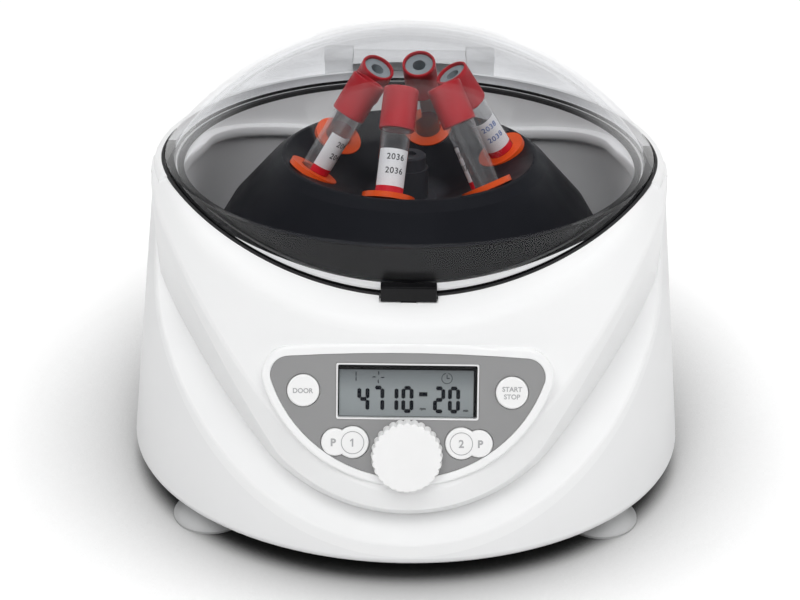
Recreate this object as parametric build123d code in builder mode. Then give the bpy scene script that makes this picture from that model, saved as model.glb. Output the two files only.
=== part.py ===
from build123d import *
import os
from math import atan2, cos, degrees, radians, sin, sqrt, tan

# Bench centrifuge with a domed clear lid, six angled tubes and a sloping front panel.
# Millimetres. Z = 0 is the bench, the rotor turns about the Z axis, the front faces -Y.

# Casing
base_z = 10.0
base_half_width = 128.0
base_front = 154.0
base_rear = 160.0
base_centre = 38.0
ring_radius = 117.3
ring_top_z = 134.0
ring_flare = 0.5
seam_z = 120.0
wall = 3.0
ring_round = 3.0
bottom_round = 2.6
ridge_round = 1.5
boss_spots = ((116.0, 0.0), (40.0, -139.0), (50.0, 134.0))
boss_radius = 6.0
boss_top_z = 22.0
boss_roof = 2.0
boss_screw_gap = 3.0

# Saddle: the cover's top runs level from the rear, then falls away in an arc to the front
saddle_start = 30.0
saddle_radius = 174.5

# Scoop: the inclined cut in the front of the side shell
scoop_front_z = 19.0
scoop_slope = 36.5
scoop_turn = 58.0
scoop_steep = 69.0
scoop_round = 60.0

# Front shield, drawn on a plane that leans back
shield_lean = 22.0
shield_lip = 121.0
shield_lip_z = 114.5
shield_draft = 20.0
shield_start = 12.0
shield_reach = 110.0
shield_top_half = 96.0
shield_top_v = 66.0
shield_mid_half = 77.0
shield_mid_v = 2.0
shield_low_half = 46.0
shield_low_v = -58.0
shield_bottom_v = -79.0
shield_corner = 28.0
crease_round = 4.0
crease_end = 25.0
lip_round = 12.0
face_bulge = 1.0
face_high_z = 140.0
face_high_radius = 100.0
face_low_z = 24.0
face_low_radius = 330.0
face_lean = 21.5
wing_half = 117.8
wing_front = 150.0

# Lid
lid_radius = 112.0
lid_wall = 3.0
dome_radius = 143.5
dome_centre_z = 45.2
lid_drop = 3.5
lid_gap = 0.7
pocket_depth = 4.0
pocket_floor = 4.0
trim_rise = 0.5
trim_top_z = 135.0
trim_end_y = 2.0
seal_inner = 105.5
seal_skirt_inner = 107.6
seal_low_z = 130.5
seal_high_z = 132.0
seal_skirt_rise = 5.5
seal_clearance = 0.05

# Rear hinge
hinge_y = 124.0
hinge_z = 137.0
hinge_block_half = 30.0
hinge_side_gap = 0.5
knuckle_width = 15.0
barrel_radius = 5.0
knuckle_radius = 7.0
hinge_housing_low_z = 120.0
hinge_housing_top_z = 127.0
pin_radius = 2.0
pin_clearance = 0.05
pin_overhang = 0.5
web_low_z = 134.5
web_high_z = 141.0
web_start_y = 98.0

# Front latch
tab_half = 11.2
tab_front = 116.3
tab_low_z = 111.5
tab_high_z = 118.0
tab_gap = 0.6
hook_half = 3.0
hook_front = 113.4
hook_back = 111.4
tooth_back = 108.6
hook_low_z = 96.0
tab_round = 0.8
tooth_height = 2.5
slot_gap = 0.6
slot_front = 116.0
plunger_radius = 1.5
plunger_gap = 0.3
plunger_tip_x = 4.0
plunger_length = 16.0
solenoid_start_x = 6.0
solenoid_length = 20.0
solenoid_size = 8.0
solenoid_round = 1.0
solenoid_wall = 2.0
plunger_fit = 0.05

# Chamber bowl
bowl_wall = 2.5
bowl_upper_inner = 104.0
bowl_lower_inner = 100.5
bowl_ledge_z = 108.0
bowl_wall_top_z = 128.2
bowl_wall_rise = 3.0
bowl_floor_z = 62.0
bowl_corner = 10.0
bowl_hole = 8.0
bowl_collar_z = 70.0
cover_hole_gap = 0.5
gasket_height = 2.0
gasket_front = 80.0

# Rotor
rotor_bottom_z = 77.0
rotor_lip_z = 85.0
rotor_lip_radius = 96.5
rotor_side_z = 105.5
rotor_side_radius = 84.0
rotor_neck_z = 127.5
rotor_neck_radius = 64.0
rotor_rim_radius = 58.5
rotor_rim_round = 2.0
rotor_lip_round = 4.0
dish_slope = 26.0
rotor_recess_z = 98.0
rotor_recess_inner = 16.0
rotor_recess_outer = 50.0
rotor_recess_flare = 8.0
hub_bottom_z = 74.0
hub_top_z = 123.5
hub_top_radius = 9.0
cone_inner_radius = 13.0
nut_height = 6.5
nut_radius = 7.8
nut_chamfer = 0.8
nut_roof = 3.0
nut_socket_radius = 3.5
nut_socket_depth = 1.5
shaft_radius = 5.0
shaft_fit = 0.02

# Tubes, adapters and caps
tube_count = 6
tube_first_angle = -11.5
tube_tilt = 33.0
seat_radius = 47.0
seat_z = 125.2
flange_radius = 11.6
flange_height = 2.5
sleeve_radius = 8.2
sleeve_length = 47.0
bore_fit = 0.1
bore_depth = 48.2
spot_depth = 0.6
tube_radius = 6.5
tube_wall = 0.9
tube_fit = 0.1
cap_radius = 7.8
cap_height = 18.5
cap_top = 50.5
cap_edge_round = 0.4
cap_recess = 4.0
stopper_bore = 3.0
stopper_length = 14.0
stopper_sink = 1.5

# Display and key panel
panel_arc_radius = 57.0
panel_arc_v = -13.6
panel_top_v = -20.4
panel_top_radius = 700.0
panel_corner = 7.5
pad_margin = 3.5
pad_rise = 1.6
pad_depth = 9.5
pad_edge = 1.2
plate_back = 2.0
pad_lip = 2.0
overlay_level = 1.2
overlay_thickness = 0.8
display_half = 28.2
display_top_v = -24.7
display_bottom_v = -47.0
display_frame = 0.6
display_corner = 0.8
display_gap = 0.15
window_drop = 0.5
window_thickness = 1.0
button_radius = 6.4
button_rise = 1.2
button_gap = 0.3
button_flange = 0.8
button_flange_height = 1.2
button_travel_gap = 0.3
stem_radius = 2.0
main_button_x = 41.2
main_button_v = -35.7
program_x = 21.5
program_v = -56.2
program_lobe_radius = 5.5
program_lobe_offset = 7.0
program_waist = 1.0
key_edge_round = 0.8
key_travel = 0.8
knob_v = -61.0
knob_radius = 14.3
knob_height = 7.0
knob_lobes = 28
knob_lobe_radius = 1.75
knob_taper = 4.0
knob_edge_chamfer = 0.9
knob_roof = 1.5
knob_gap = 0.4
knob_shaft_radius = 3.0
encoder_half = 6.5
encoder_height = 5.5
encoder_fit = 0.15
encoder_floor = 1.0
board_depth = 8.0
board_thickness = 1.6
board_inset = 6.0
board_post_radius = 3.0
switch_half = 3.0
switch_height = 1.2
chip_spots = ((-20.0, -38.0), (20.0, -38.0))
chip_size = (14.0, 10.0)
header_spot = (0.0, -34.0)
header_size = (10.0, 6.0)
chip_height = 3.0
board_screw_gap = 1.0
post_spots = ((-33.0, -27.0), (33.0, -27.0), (-10.5, -64.0), (10.5, -64.0))

# Base, motor and feet
pan_thickness = 3.0
pan_gap = 0.3
foot_x = 85.0
foot_front = 103.0
foot_rear = 96.0
foot_rear_x = 72.0
foot_radius = 17.0
foot_neck_radius = 7.0
foot_screw_radius = 2.0
foot_screw_head = 4.0
foot_lip = 2.0
foot_lip_height = 1.0
foot_waist_radius = 11.0
foot_waist_z = 3.5
foot_neck_z = 8.0
foot_screw_low_z = 5.0
foot_hollow_z = 2.5
foot_hollow_mid_z = 1.6
mount_spread = 42.0
mount_radius = 8.0
mount_height = 10.0
plate_half = 52.0
plate_thickness = 3.0
plate_corner = 8.0
motor_radius = 38.0
motor_height = 30.0
motor_boss_radius = 14.0
motor_boss_height = 5.0
motor_round = 2.0
motor_floor = 5.0
shaft_top_gap = 1.0
shaft_gap = 0.3
post_radius = 5.0
post_circle = 82.0
screw_head_radius = 3.0
screw_head_height = 2.0
screw_radius = 1.5

# Rear power entry
entry_half = 36.0
entry_low_z = 18.0
entry_high_z = 48.0
entry_face_y = 145.0
entry_wall = 3.0
inlet_x = 14.0
inlet_z = 33.0
inlet_socket_half_width = 12.0
inlet_socket_half_height = 8.0
inlet_depth = 20.0
inlet_socket_depth = 15.0
inlet_flange = 2.0
inlet_flange_margin = 2.5
inlet_wall = 1.5
inlet_pin_length = 9.0
inlet_pins = ((-7.0, -2.0), (0.0, 2.0), (7.0, -2.0))
inlet_pin_half_width = 1.0
inlet_pin_half_height = 2.0
power_switch_x = -19.0
switch_half_width = 10.5
switch_half_height = 7.0
switch_rim = 1.5
switch_well = 8.0
rocker_margin_x = 1.6
rocker_margin_z = 1.4
rocker_tilt = 10.0
rocker_gap = 0.3
rocker_pin_radius = 1.2
rocker_pin_seat = 1.2
rocker_pin_reach = 1.0
rocker_end_gap = 0.4
rocker_end_front = 3.0
rocker_end_back = -2.0
rocker_middle_front = 1.8
rocker_middle_back = -5.0
board_half = 36.0
power_board_y = 104.0
power_board_half_y = 12.0
power_board_z = 19.0
power_post_half_x = 30.0
power_post_half_y = 8.0
transformer_x = (-30.0, -8.0)
transformer_margin = 2.0
transformer_height = 16.0
capacitor_x = (2.0, 14.0)
capacitor_radius = 5.0
plug_x = (23.0, 33.0)
plug_margin = 3.0
plug_height = 8.0

span = 400.0


def shield_plane(depth=0.0):
    """The leaning plane of the shield, moved inwards by depth."""
    lean = radians(shield_lean)
    outward = Vector(0, -cos(lean), sin(lean))
    origin = Vector(0, -shield_lip, shield_lip_z) - outward * depth
    return Plane(origin=origin, x_dir=(1, 0, 0), z_dir=outward)


def bucket(inset=0.0):
    """Solid inside the flared oval wall, from the bottom edge to the top of the ring."""
    half = base_half_width - inset
    front = base_front - base_centre - inset
    rear = base_rear + base_centre - inset
    top = ring_radius - ring_flare - inset
    with BuildPart(mode=Mode.PRIVATE) as made:
        with BuildSketch(Plane.XY.offset(base_z)):
            with BuildLine():
                EllipticalCenterArc((0, -base_centre), half, rear, start_angle=0, arc_size=180)
                EllipticalCenterArc((0, -base_centre), half, front, start_angle=180, arc_size=180)
            make_face()
        with BuildSketch(Plane.XY.offset(ring_top_z)):
            with BuildLine():
                EllipticalCenterArc((0, 0), top, top, start_angle=0, arc_size=180)
                EllipticalCenterArc((0, 0), top, top, start_angle=180, arc_size=180)
            make_face()
        loft()
    return made.part


def below_saddle(drop=0.0):
    """Everything under the saddle surface, lowered by drop."""
    level = ring_top_z - drop
    centre = level - saddle_radius
    reach = saddle_radius * sin(radians(50))
    end_z = centre + sqrt(saddle_radius**2 - reach**2)
    half = saddle_radius * sin(radians(25))
    half_z = centre + saddle_radius * cos(radians(25))
    with BuildPart(mode=Mode.PRIVATE) as made:
        with BuildSketch(Plane.YZ):
            with BuildLine():
                Line((span / 2, level), (-saddle_start, level))
                ThreePointArc(
                    (-saddle_start, level),
                    (-saddle_start - half, half_z),
                    (-saddle_start - reach, end_z),
                )
                Line((-saddle_start - reach, end_z), (-span / 2, end_z))
                Line((-span / 2, end_z), (-span / 2, -span / 4))
                Line((-span / 2, -span / 4), (span / 2, -span / 4))
                Line((span / 2, -span / 4), (span / 2, level))
            make_face()
        extrude(amount=span / 2, both=True)
    return made.part


def below_scoop(inset=0.0):
    """Everything under and behind the inclined scoop surface, moved inwards by inset."""
    slope = radians(scoop_slope)
    steep = radians(scoop_steep)
    start = (-base_front + wall, scoop_front_z)
    turn_z = start[1] + (-scoop_turn - start[0]) * tan(slope)
    run = 80.0
    foot = (start[0] - run, start[1] - run * tan(slope))
    turn = (-scoop_turn, turn_z)
    head = (turn[0] + run * cos(steep), turn[1] + run * sin(steep))
    with BuildPart(mode=Mode.PRIVATE) as made:
        with BuildSketch(Plane.YZ):
            with BuildLine():
                FilletPolyline(foot, turn, head, radius=scoop_round)
                Polyline(head, (span / 2, head[1]), (span / 2, -span / 2), (foot[0], -span / 2), foot)
            make_face()
            if inset > 0:
                offset(amount=-inset, kind=Kind.INTERSECTION, mode=Mode.REPLACE)
        extrude(amount=span / 2, both=True)
    return made.part


def face_front(height):
    """Distance of the face's front line ahead of the rotor axis at a height."""
    return shield_lip + face_bulge + (shield_lip_z - height) * tan(radians(face_lean))


def face_solid(inset=0.0):
    """Solid behind the curved face of the shield, a cone that flattens towards its foot."""
    sections = ((face_low_z, face_low_radius), (face_high_z, face_high_radius))
    with BuildPart(mode=Mode.PRIVATE) as made:
        for height, radius in sections:
            with BuildSketch(Plane.XY.offset(height)):
                with Locations((0, radius - face_front(height))):
                    Circle(radius - inset)
        loft()
    return made.part


def wing_bound(inset=0.0):
    """Upright oval that holds the sides of the shield to the ring."""
    with BuildPart(mode=Mode.PRIVATE) as made:
        with BuildSketch(Plane.XY):
            Ellipse(wing_half - inset, wing_front - inset)
            with Locations((0, span / 4)):
                Rectangle(2 * (wing_half - inset), span / 2)
        extrude(amount=span)
    return made.part


def shield_prism(inset=0.0):
    """Drafted solid behind the outline of the shield."""
    with BuildPart(mode=Mode.PRIVATE) as made:
        with BuildSketch(shield_plane(-shield_start)) as outline:
            with BuildLine():
                side = ThreePointArc(
                    (shield_top_half, shield_top_v),
                    (shield_mid_half, shield_mid_v),
                    (shield_low_half, shield_low_v),
                )
                ThreePointArc(
                    (shield_low_half, shield_low_v),
                    (0, shield_bottom_v),
                    (-shield_low_half, shield_low_v),
                )
                mirror(side, about=Plane.YZ)
                Line((-shield_top_half, shield_top_v), (shield_top_half, shield_top_v))
            make_face()
            low = outline.vertices().sort_by(Axis.Y)[:2]
            fillet(low, shield_corner)
            if inset > 0:
                offset(amount=-inset, mode=Mode.REPLACE)
        extrude(amount=-shield_reach, taper=-shield_draft)
    return made.part


def half_space(front_of):
    """Everything in front of, or behind, the upright plane where the rounded crease ends."""
    side = -1 if front_of else 1
    with BuildPart(mode=Mode.PRIVATE) as made:
        with Locations((0, -crease_end + side * span / 2, 0)):
            Box(2 * span, span, 2 * span)
    return made.part


def shield_solid(inset=0.0):
    """The shield: curved face, drafted outline and the oval that bounds its wings."""
    with BuildPart(mode=Mode.PRIVATE) as made:
        add(face_solid(inset))
        add(shield_prism(inset), mode=Mode.INTERSECT)
        add(wing_bound(inset), mode=Mode.INTERSECT)
    return made.part


def rounded_shield():
    """The outer shield with its crease rounded up to the ears of the ring."""
    low_front = Vector(0, -span, 0)
    with BuildPart(mode=Mode.PRIVATE) as front:
        add(shield_solid())
        add(half_space(True), mode=Mode.INTERSECT)
        long_edges = front.edges().filter_by(lambda e: e.length > span / 2)
        crease = long_edges.sort_by_distance(low_front)[0]
        fillet(crease, crease_round)
    with BuildPart(mode=Mode.PRIVATE) as rear:
        add(shield_solid())
        add(half_space(False), mode=Mode.INTERSECT)
    with BuildPart(mode=Mode.PRIVATE) as made:
        add(front.part)
        add(rear.part)
    return made.part


def body_solid(inset=0.0):
    """The whole closed form of the casing, moved inwards by inset."""
    shield = shield_solid(inset) if inset > 0 else rounded_shield()
    with BuildPart(mode=Mode.PRIVATE) as made:
        add(bucket(inset))
        add(below_scoop(inset), mode=Mode.INTERSECT)
        add(shield)
    return made.part


def disc(radius, low, high):
    """Upright cylinder on the rotor axis between two heights."""
    with BuildPart(mode=Mode.PRIVATE) as made:
        with BuildSketch(Plane.XY.offset(low)):
            Circle(radius)
        extrude(amount=high - low)
    return made.part


def ring(outer, inner, low, high):
    """Upright ring on the rotor axis between two heights."""
    with BuildPart(mode=Mode.PRIVATE) as made:
        with BuildSketch(Plane.XY.offset(low)):
            Circle(outer)
            Circle(inner, mode=Mode.SUBTRACT)
        extrude(amount=high - low)
    return made.part


def block(x_low, x_high, y_low, y_high, z_low, z_high):
    """Plain block between two corners."""
    middle = ((x_low + x_high) / 2, (y_low + y_high) / 2, (z_low + z_high) / 2)
    with BuildPart(mode=Mode.PRIVATE) as made:
        with Locations(middle):
            Box(x_high - x_low, y_high - y_low, z_high - z_low)
    return made.part


def panel_outline(grow=0.0):
    """Outline of the key panel: a round belly under a nearly level top edge, made larger by grow."""
    belly = panel_arc_radius + grow
    top = panel_top_radius + grow
    top_v = panel_top_v + grow
    top_centre_v = panel_top_v - panel_top_radius
    squares = belly**2 - top**2 - panel_arc_v**2 + top_centre_v**2
    corner_v = squares / (2 * (top_centre_v - panel_arc_v))
    corner_x = sqrt(belly**2 - (corner_v - panel_arc_v) ** 2)
    left = (-corner_x, corner_v)
    right = (corner_x, corner_v)
    with BuildSketch(mode=Mode.PRIVATE) as made:
        with BuildLine():
            ThreePointArc(left, (0, top_v), right)
            ThreePointArc(right, (0, panel_arc_v - belly), left)
        make_face()
        fillet(made.vertices(), panel_corner + grow)
    return made.sketch


def program_outline(side, grow=0.0):
    """Outline of a program key: a large circle joined to a smaller lobe on its outer side."""
    with BuildSketch(mode=Mode.PRIVATE) as made:
        with Locations((side * program_x, program_v)):
            Circle(button_radius + grow)
        with Locations((side * (program_x + program_lobe_offset), program_v)):
            Circle(program_lobe_radius + grow)
        with Locations((side * (program_x + program_lobe_offset / 2), program_v)):
            Rectangle(program_lobe_offset, 2 * (program_lobe_radius - program_waist + grow))
    return made.sketch


def round_key_outline(side, grow=0.0):
    """Outline of a round key beside the display."""
    with BuildSketch(mode=Mode.PRIVATE) as made:
        with Locations((side * main_button_x, main_button_v)):
            Circle(button_radius + grow)
    return made.sketch


def display_outline(grow=0.0):
    """Outline of the display window."""
    height = display_top_v - display_bottom_v
    with BuildSketch(mode=Mode.PRIVATE) as made:
        with Locations((0, (display_top_v + display_bottom_v) / 2)):
            RectangleRounded(2 * (display_half + grow), height + 2 * grow, display_corner + max(grow, 0))
    return made.sketch


def knob_outline(radius):
    """Circle about the axis of the speed knob."""
    with BuildSketch(mode=Mode.PRIVATE) as made:
        with Locations((0, knob_v)):
            Circle(radius)
    return made.sketch


def from_panel(outline, near, far):
    """Solid of an outline on the panel between two depths, near being the outer one."""
    with BuildPart(mode=Mode.PRIVATE) as made:
        with BuildSketch(shield_plane(far)):
            add(outline)
        extrude(amount=far - near)
    return made.part


def panel_openings():
    """Every hole through the panel, for the display, the keys and the knob's shaft."""
    outlines = [display_outline(display_gap)]
    for side in (-1, 1):
        outlines.append(round_key_outline(side, button_gap))
        outlines.append(program_outline(side, button_gap))
    outlines.append(knob_outline(knob_shaft_radius + button_gap))
    return outlines


def lid_outer():
    """Closed form of the lid: a round wall under a shallow dome."""
    wall_top = dome_centre_z + sqrt(dome_radius**2 - lid_radius**2)
    with BuildPart(mode=Mode.PRIVATE) as made:
        add(disc(lid_radius, bowl_floor_z, wall_top))
        with BuildSketch(Plane.XZ):
            with BuildLine():
                Line((0, wall_top), (lid_radius, wall_top))
                CenterArc((0, dome_centre_z), dome_radius, lid_edge_angle(), 90 - lid_edge_angle())
                Line((0, dome_centre_z + dome_radius), (0, wall_top))
            make_face()
        revolve(axis=Axis.Z)
    return made.part


def lid_edge_angle():
    """Angle at the dome's centre between the level and the dome's outer edge."""
    return degrees(atan2(sqrt(dome_radius**2 - lid_radius**2), lid_radius))


def lid_inner(clearance=0.0):
    """Closed form of the space inside the lid, made smaller by a clearance."""
    inner = lid_radius - lid_wall - clearance
    inner_dome = dome_radius - lid_wall - clearance
    corner_z = sqrt(inner_dome**2 - inner**2)
    angle = degrees(atan2(corner_z, inner))
    with BuildPart(mode=Mode.PRIVATE) as made:
        add(disc(inner, bowl_floor_z - wall, dome_centre_z + corner_z))
        with BuildSketch(Plane.XZ):
            with BuildLine():
                Line((0, dome_centre_z + corner_z), (inner, dome_centre_z + corner_z))
                CenterArc((0, dome_centre_z), inner_dome, angle, 90 - angle)
                Line((0, dome_centre_z + inner_dome), (0, dome_centre_z + corner_z))
            make_face()
        revolve(axis=Axis.Z)
    return made.part


def lid_shell():
    """The lid's whole wall above its lower edge."""
    with BuildPart(mode=Mode.PRIVATE) as made:
        add(lid_outer())
        add(lid_inner(), mode=Mode.SUBTRACT)
        add(below_saddle(lid_drop), mode=Mode.SUBTRACT)
    return made.part


def latch_block():
    """Tab at the front of the lid with the catch that hangs from it."""
    with BuildPart(mode=Mode.PRIVATE) as made:
        add(block(-tab_half, tab_half, -tab_front, -hook_back, tab_low_z, tab_high_z))
        add(block(-hook_half, hook_half, -hook_front, -hook_back, hook_low_z, tab_high_z))
        tooth_top = hook_low_z + tooth_height
        add(block(-hook_half, hook_half, -hook_back, -tooth_back, hook_low_z, tooth_top))
        front = made.faces().sort_by(Axis.Y)[0]
        fillet(front.edges(), tab_round)
    return made.part


def tube_plane(number, along=0.0):
    """Plane across a tube's axis, with along measured outwards from its seat."""
    angle = radians(tube_first_angle + number * 360 / tube_count)
    tilt = radians(tube_tilt)
    out = Vector(sin(angle), -cos(angle), 0)
    seat = out * seat_radius + Vector(0, 0, seat_z)
    axis = Vector(0, 0, cos(tilt)) - out * sin(tilt)
    side = Vector(cos(angle), sin(angle), 0)
    return Plane(origin=seat + axis * along, x_dir=side, z_dir=axis)


def tube_piece(number, outer, inner, low, high):
    """Round sleeve on a tube's axis between two places along it."""
    with BuildPart(mode=Mode.PRIVATE) as made:
        with BuildSketch(tube_plane(number, low)):
            Circle(outer)
            if inner > 0:
                Circle(inner, mode=Mode.SUBTRACT)
        extrude(amount=high - low)
    return made.part


os.makedirs("parts", exist_ok=True)

# Casing: one hollow form, parted along the scoop and a level seam

with BuildPart() as casing:
    add(body_solid())
    add(below_saddle(), mode=Mode.INTERSECT)
    outline = casing.edges()
    bottom = outline.filter_by_position(Axis.Z, base_z - 0.1, base_z + 0.1)
    fillet(bottom, bottom_round)
    rear_rim = casing.edges().filter_by_position(Axis.Z, ring_top_z - 0.1, ring_top_z + 0.1)
    fillet(rear_rim.sort_by(Axis.Y)[-1], ring_round)
    lip_middle = (0, -shield_lip - 5, ring_top_z - 28)
    lip = casing.edges().filter_by(lambda e: e.length > ring_radius).sort_by_distance(lip_middle)[0]
    fillet(lip, lip_round)
    ridge = casing.edges().filter_by(lambda e: e.length > ring_radius)
    fillet(ridge.sort_by_distance((0, -base_front + wall, scoop_front_z))[0], ridge_round)

with BuildPart() as hollow:
    add(body_solid(wall))
    add(below_saddle(pocket_depth + pocket_floor), mode=Mode.INTERSECT)

with BuildPart() as under_seam:
    add(below_scoop(wall))
    add(block(-span, span, -span, span, -span, seam_z), mode=Mode.INTERSECT)

entry_back_y = entry_face_y - entry_wall
pan_top_z = base_z + pan_thickness
boss_places = [(side * x, y) for x, y in boss_spots for side in (-1, 1)]

with BuildPart() as side_shell:
    add(casing.part)
    add(hollow.part, mode=Mode.SUBTRACT)
    with BuildSketch(Plane.XY.offset(pan_top_z)):
        with Locations(*boss_places):
            Circle(boss_radius)
    extrude(amount=boss_top_z - pan_top_z)
    housing_half = entry_half + entry_wall
    housing = (entry_low_z - entry_wall, entry_high_z + entry_wall)
    add(block(-housing_half, housing_half, entry_back_y, base_rear, housing[0], housing[1]))
    add(casing.part, mode=Mode.INTERSECT)
    add(under_seam.part, mode=Mode.INTERSECT)
    entry = block(-entry_half, entry_half, entry_face_y, span, entry_low_z, entry_high_z)
    add(entry, mode=Mode.SUBTRACT)
    with BuildSketch(Plane.XZ.offset(-span)):
        with Locations((inlet_x, inlet_z)):
            Rectangle(2 * (inlet_socket_half_width + entry_wall), 2 * (inlet_socket_half_height + inlet_wall))
        with Locations((power_switch_x, inlet_z)):
            Rectangle(2 * switch_half_width, 2 * switch_half_height)
    extrude(amount=span - entry_back_y + 1, mode=Mode.SUBTRACT)
    with Locations(*[(x, y, pan_top_z) for x, y in boss_places]):
        Cylinder(screw_radius + shaft_fit, 2 * (boss_top_z - pan_top_z - boss_roof), mode=Mode.SUBTRACT)
side_shell.part.label = "side_shell"
export_step(side_shell.part, "parts/side_shell.step")

tab_notch_z = tab_low_z - plunger_gap
pocket_radius = lid_radius + lid_gap
opening_radius = bowl_upper_inner + bowl_wall + cover_hole_gap
knuckle_start = hinge_block_half + hinge_side_gap
knuckle_end = knuckle_start + knuckle_width
knuckle_front = hinge_y - knuckle_radius
knuckle_back = hinge_y + knuckle_radius

with BuildPart() as lid_pocket:
    add(disc(pocket_radius, bowl_floor_z, span))
    add(below_saddle(pocket_depth), mode=Mode.SUBTRACT)

with BuildPart() as panel_pad:
    add(from_panel(panel_outline(pad_margin), -pad_rise, pad_depth))
    rim = panel_pad.faces().sort_by(Axis.Y)[0].outer_wire()
    fillet(rim.edges(), pad_edge)

with BuildPart() as top_cover:
    add(casing.part)
    add(hollow.part, mode=Mode.SUBTRACT)
    add(under_seam.part, mode=Mode.SUBTRACT)
    add(panel_pad.part)
    add(from_panel(panel_outline(-pad_lip), plate_back, pad_depth + wall), mode=Mode.SUBTRACT)
    for side in (-1, 1):
        x_low = min(side * knuckle_start, side * knuckle_end)
        x_high = x_low + knuckle_width
        add(block(x_low, x_high, knuckle_front, knuckle_back, hinge_housing_low_z, hinge_z))
        with BuildSketch(Plane.YZ.offset(x_low)):
            with Locations((hinge_y, hinge_z)):
                Circle(knuckle_radius)
        extrude(amount=knuckle_width)
    housing_z = (hinge_housing_low_z, hinge_housing_top_z)
    add(block(-knuckle_end, knuckle_end, bowl_upper_inner, knuckle_back, *housing_z))
    with BuildSketch(shield_plane(board_depth)):
        with Locations(*post_spots):
            Circle(board_post_radius)
    extrude(amount=board_depth - plate_back)
    add(lid_pocket.part, mode=Mode.SUBTRACT)
    add(disc(opening_radius, 0, span), mode=Mode.SUBTRACT)
    recess = from_panel(panel_outline(), -pad_rise - 1, overlay_thickness - overlay_level)
    add(recess, mode=Mode.SUBTRACT)
    for opening in panel_openings():
        add(from_panel(opening, -pad_rise - 1, plate_back + wall), mode=Mode.SUBTRACT)
    notch_half = tab_half + tab_gap
    notch_front = tab_front + tab_gap
    add(
        block(-notch_half, notch_half, -notch_front, -opening_radius, tab_notch_z, ring_top_z),
        mode=Mode.SUBTRACT,
    )
    slot_half = hook_half + slot_gap
    slot_back = tooth_back - slot_gap
    add(
        block(-slot_half, slot_half, -slot_front, -slot_back, hook_low_z, ring_top_z),
        mode=Mode.SUBTRACT,
    )
    with Locations(Plane(origin=(0, hinge_y, hinge_z), z_dir=(1, 0, 0))):
        Cylinder(pin_radius + shaft_fit, 2 * span, mode=Mode.SUBTRACT)
    with BuildSketch(shield_plane(board_depth)):
        with Locations(*post_spots):
            Circle(screw_radius + shaft_fit)
    extrude(amount=board_depth - plate_back, mode=Mode.SUBTRACT)
top_cover.part.label = "top_cover"
export_step(top_cover.part, "parts/top_cover.step")

# Lid: clear dome, black rim, seal, hinge block, pin and latch tab

with BuildPart() as below_trim_top:
    add(below_saddle(-trim_rise))
    add(block(-span, span, -span, trim_end_y, -span, trim_top_z), mode=Mode.INTERSECT)

with BuildPart() as latch_tab:
    add(latch_block())
latch_tab.part.label = "latch_tab"
export_step(latch_tab.part, "parts/latch_tab.step")

with BuildPart() as lid_dome:
    add(lid_shell())
    add(below_trim_top.part, mode=Mode.SUBTRACT)
    add(latch_tab.part, mode=Mode.SUBTRACT)
lid_dome.part.label = "lid_dome"
export_step(lid_dome.part, "parts/lid_dome.step")

with BuildPart() as lid_trim:
    add(lid_shell())
    add(below_trim_top.part, mode=Mode.INTERSECT)
    add(latch_tab.part, mode=Mode.SUBTRACT)
lid_trim.part.label = "lid_trim"
export_step(lid_trim.part, "parts/lid_trim.step")

with BuildPart() as lid_seal_ring:
    add(ring(lid_radius, seal_skirt_inner, bowl_floor_z, seal_low_z))
    add(below_saddle(-seal_skirt_rise), mode=Mode.SUBTRACT)
    add(ring(lid_radius, seal_inner, seal_low_z, seal_high_z))
    add(lid_inner(seal_clearance), mode=Mode.INTERSECT)
lid_seal_ring.part.label = "lid_seal_ring"
export_step(lid_seal_ring.part, "parts/lid_seal_ring.step")

with BuildPart() as lid_hinge_block:
    half = hinge_block_half
    add(block(-half, half, web_start_y, hinge_y, web_low_z, web_high_z))
    with Locations(Plane(origin=(0, hinge_y, hinge_z), z_dir=(1, 0, 0))):
        Cylinder(barrel_radius, 2 * half)
    add(lid_outer(), mode=Mode.SUBTRACT)
    with Locations(Plane(origin=(0, hinge_y, hinge_z), z_dir=(1, 0, 0))):
        Cylinder(pin_radius + pin_clearance, 2 * half, mode=Mode.SUBTRACT)
lid_hinge_block.part.label = "lid_hinge_block"
export_step(lid_hinge_block.part, "parts/lid_hinge_block.step")

with BuildPart() as hinge_pin:
    with Locations(Plane(origin=(0, hinge_y, hinge_z), z_dir=(1, 0, 0))):
        Cylinder(pin_radius, 2 * (knuckle_end + pin_overhang))
    chamfer(hinge_pin.edges().filter_by(GeomType.CIRCLE), pin_overhang / 2)
hinge_pin.part.label = "hinge_pin"
export_step(hinge_pin.part, "parts/hinge_pin.step")

plunger_y = -(hook_back - plunger_gap - plunger_radius)
plunger_z = hook_low_z + tooth_height + plunger_gap + plunger_radius
plunger_plane = Plane(origin=(plunger_tip_x, plunger_y, plunger_z), x_dir=(0, 1, 0), z_dir=(1, 0, 0))
solenoid_plane = plunger_plane.offset(solenoid_start_x - plunger_tip_x)

with BuildPart() as latch_plunger:
    with BuildSketch(plunger_plane):
        Circle(plunger_radius)
    extrude(amount=plunger_length)
    tip = latch_plunger.edges().sort_by(Axis.X)[0]
    chamfer(tip, plunger_radius / 3)
latch_plunger.part.label = "latch_plunger"
export_step(latch_plunger.part, "parts/latch_plunger.step")

with BuildPart() as latch_solenoid:
    with BuildSketch(solenoid_plane):
        Rectangle(solenoid_size, solenoid_size)
    extrude(amount=solenoid_length)
    fillet(latch_solenoid.edges().filter_by(Axis.X), solenoid_round)
    with BuildSketch(solenoid_plane):
        Circle(plunger_radius + plunger_fit)
    extrude(amount=solenoid_length - solenoid_wall, mode=Mode.SUBTRACT)
latch_solenoid.part.label = "latch_solenoid"
export_step(latch_solenoid.part, "parts/latch_solenoid.step")

# Chamber

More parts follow.
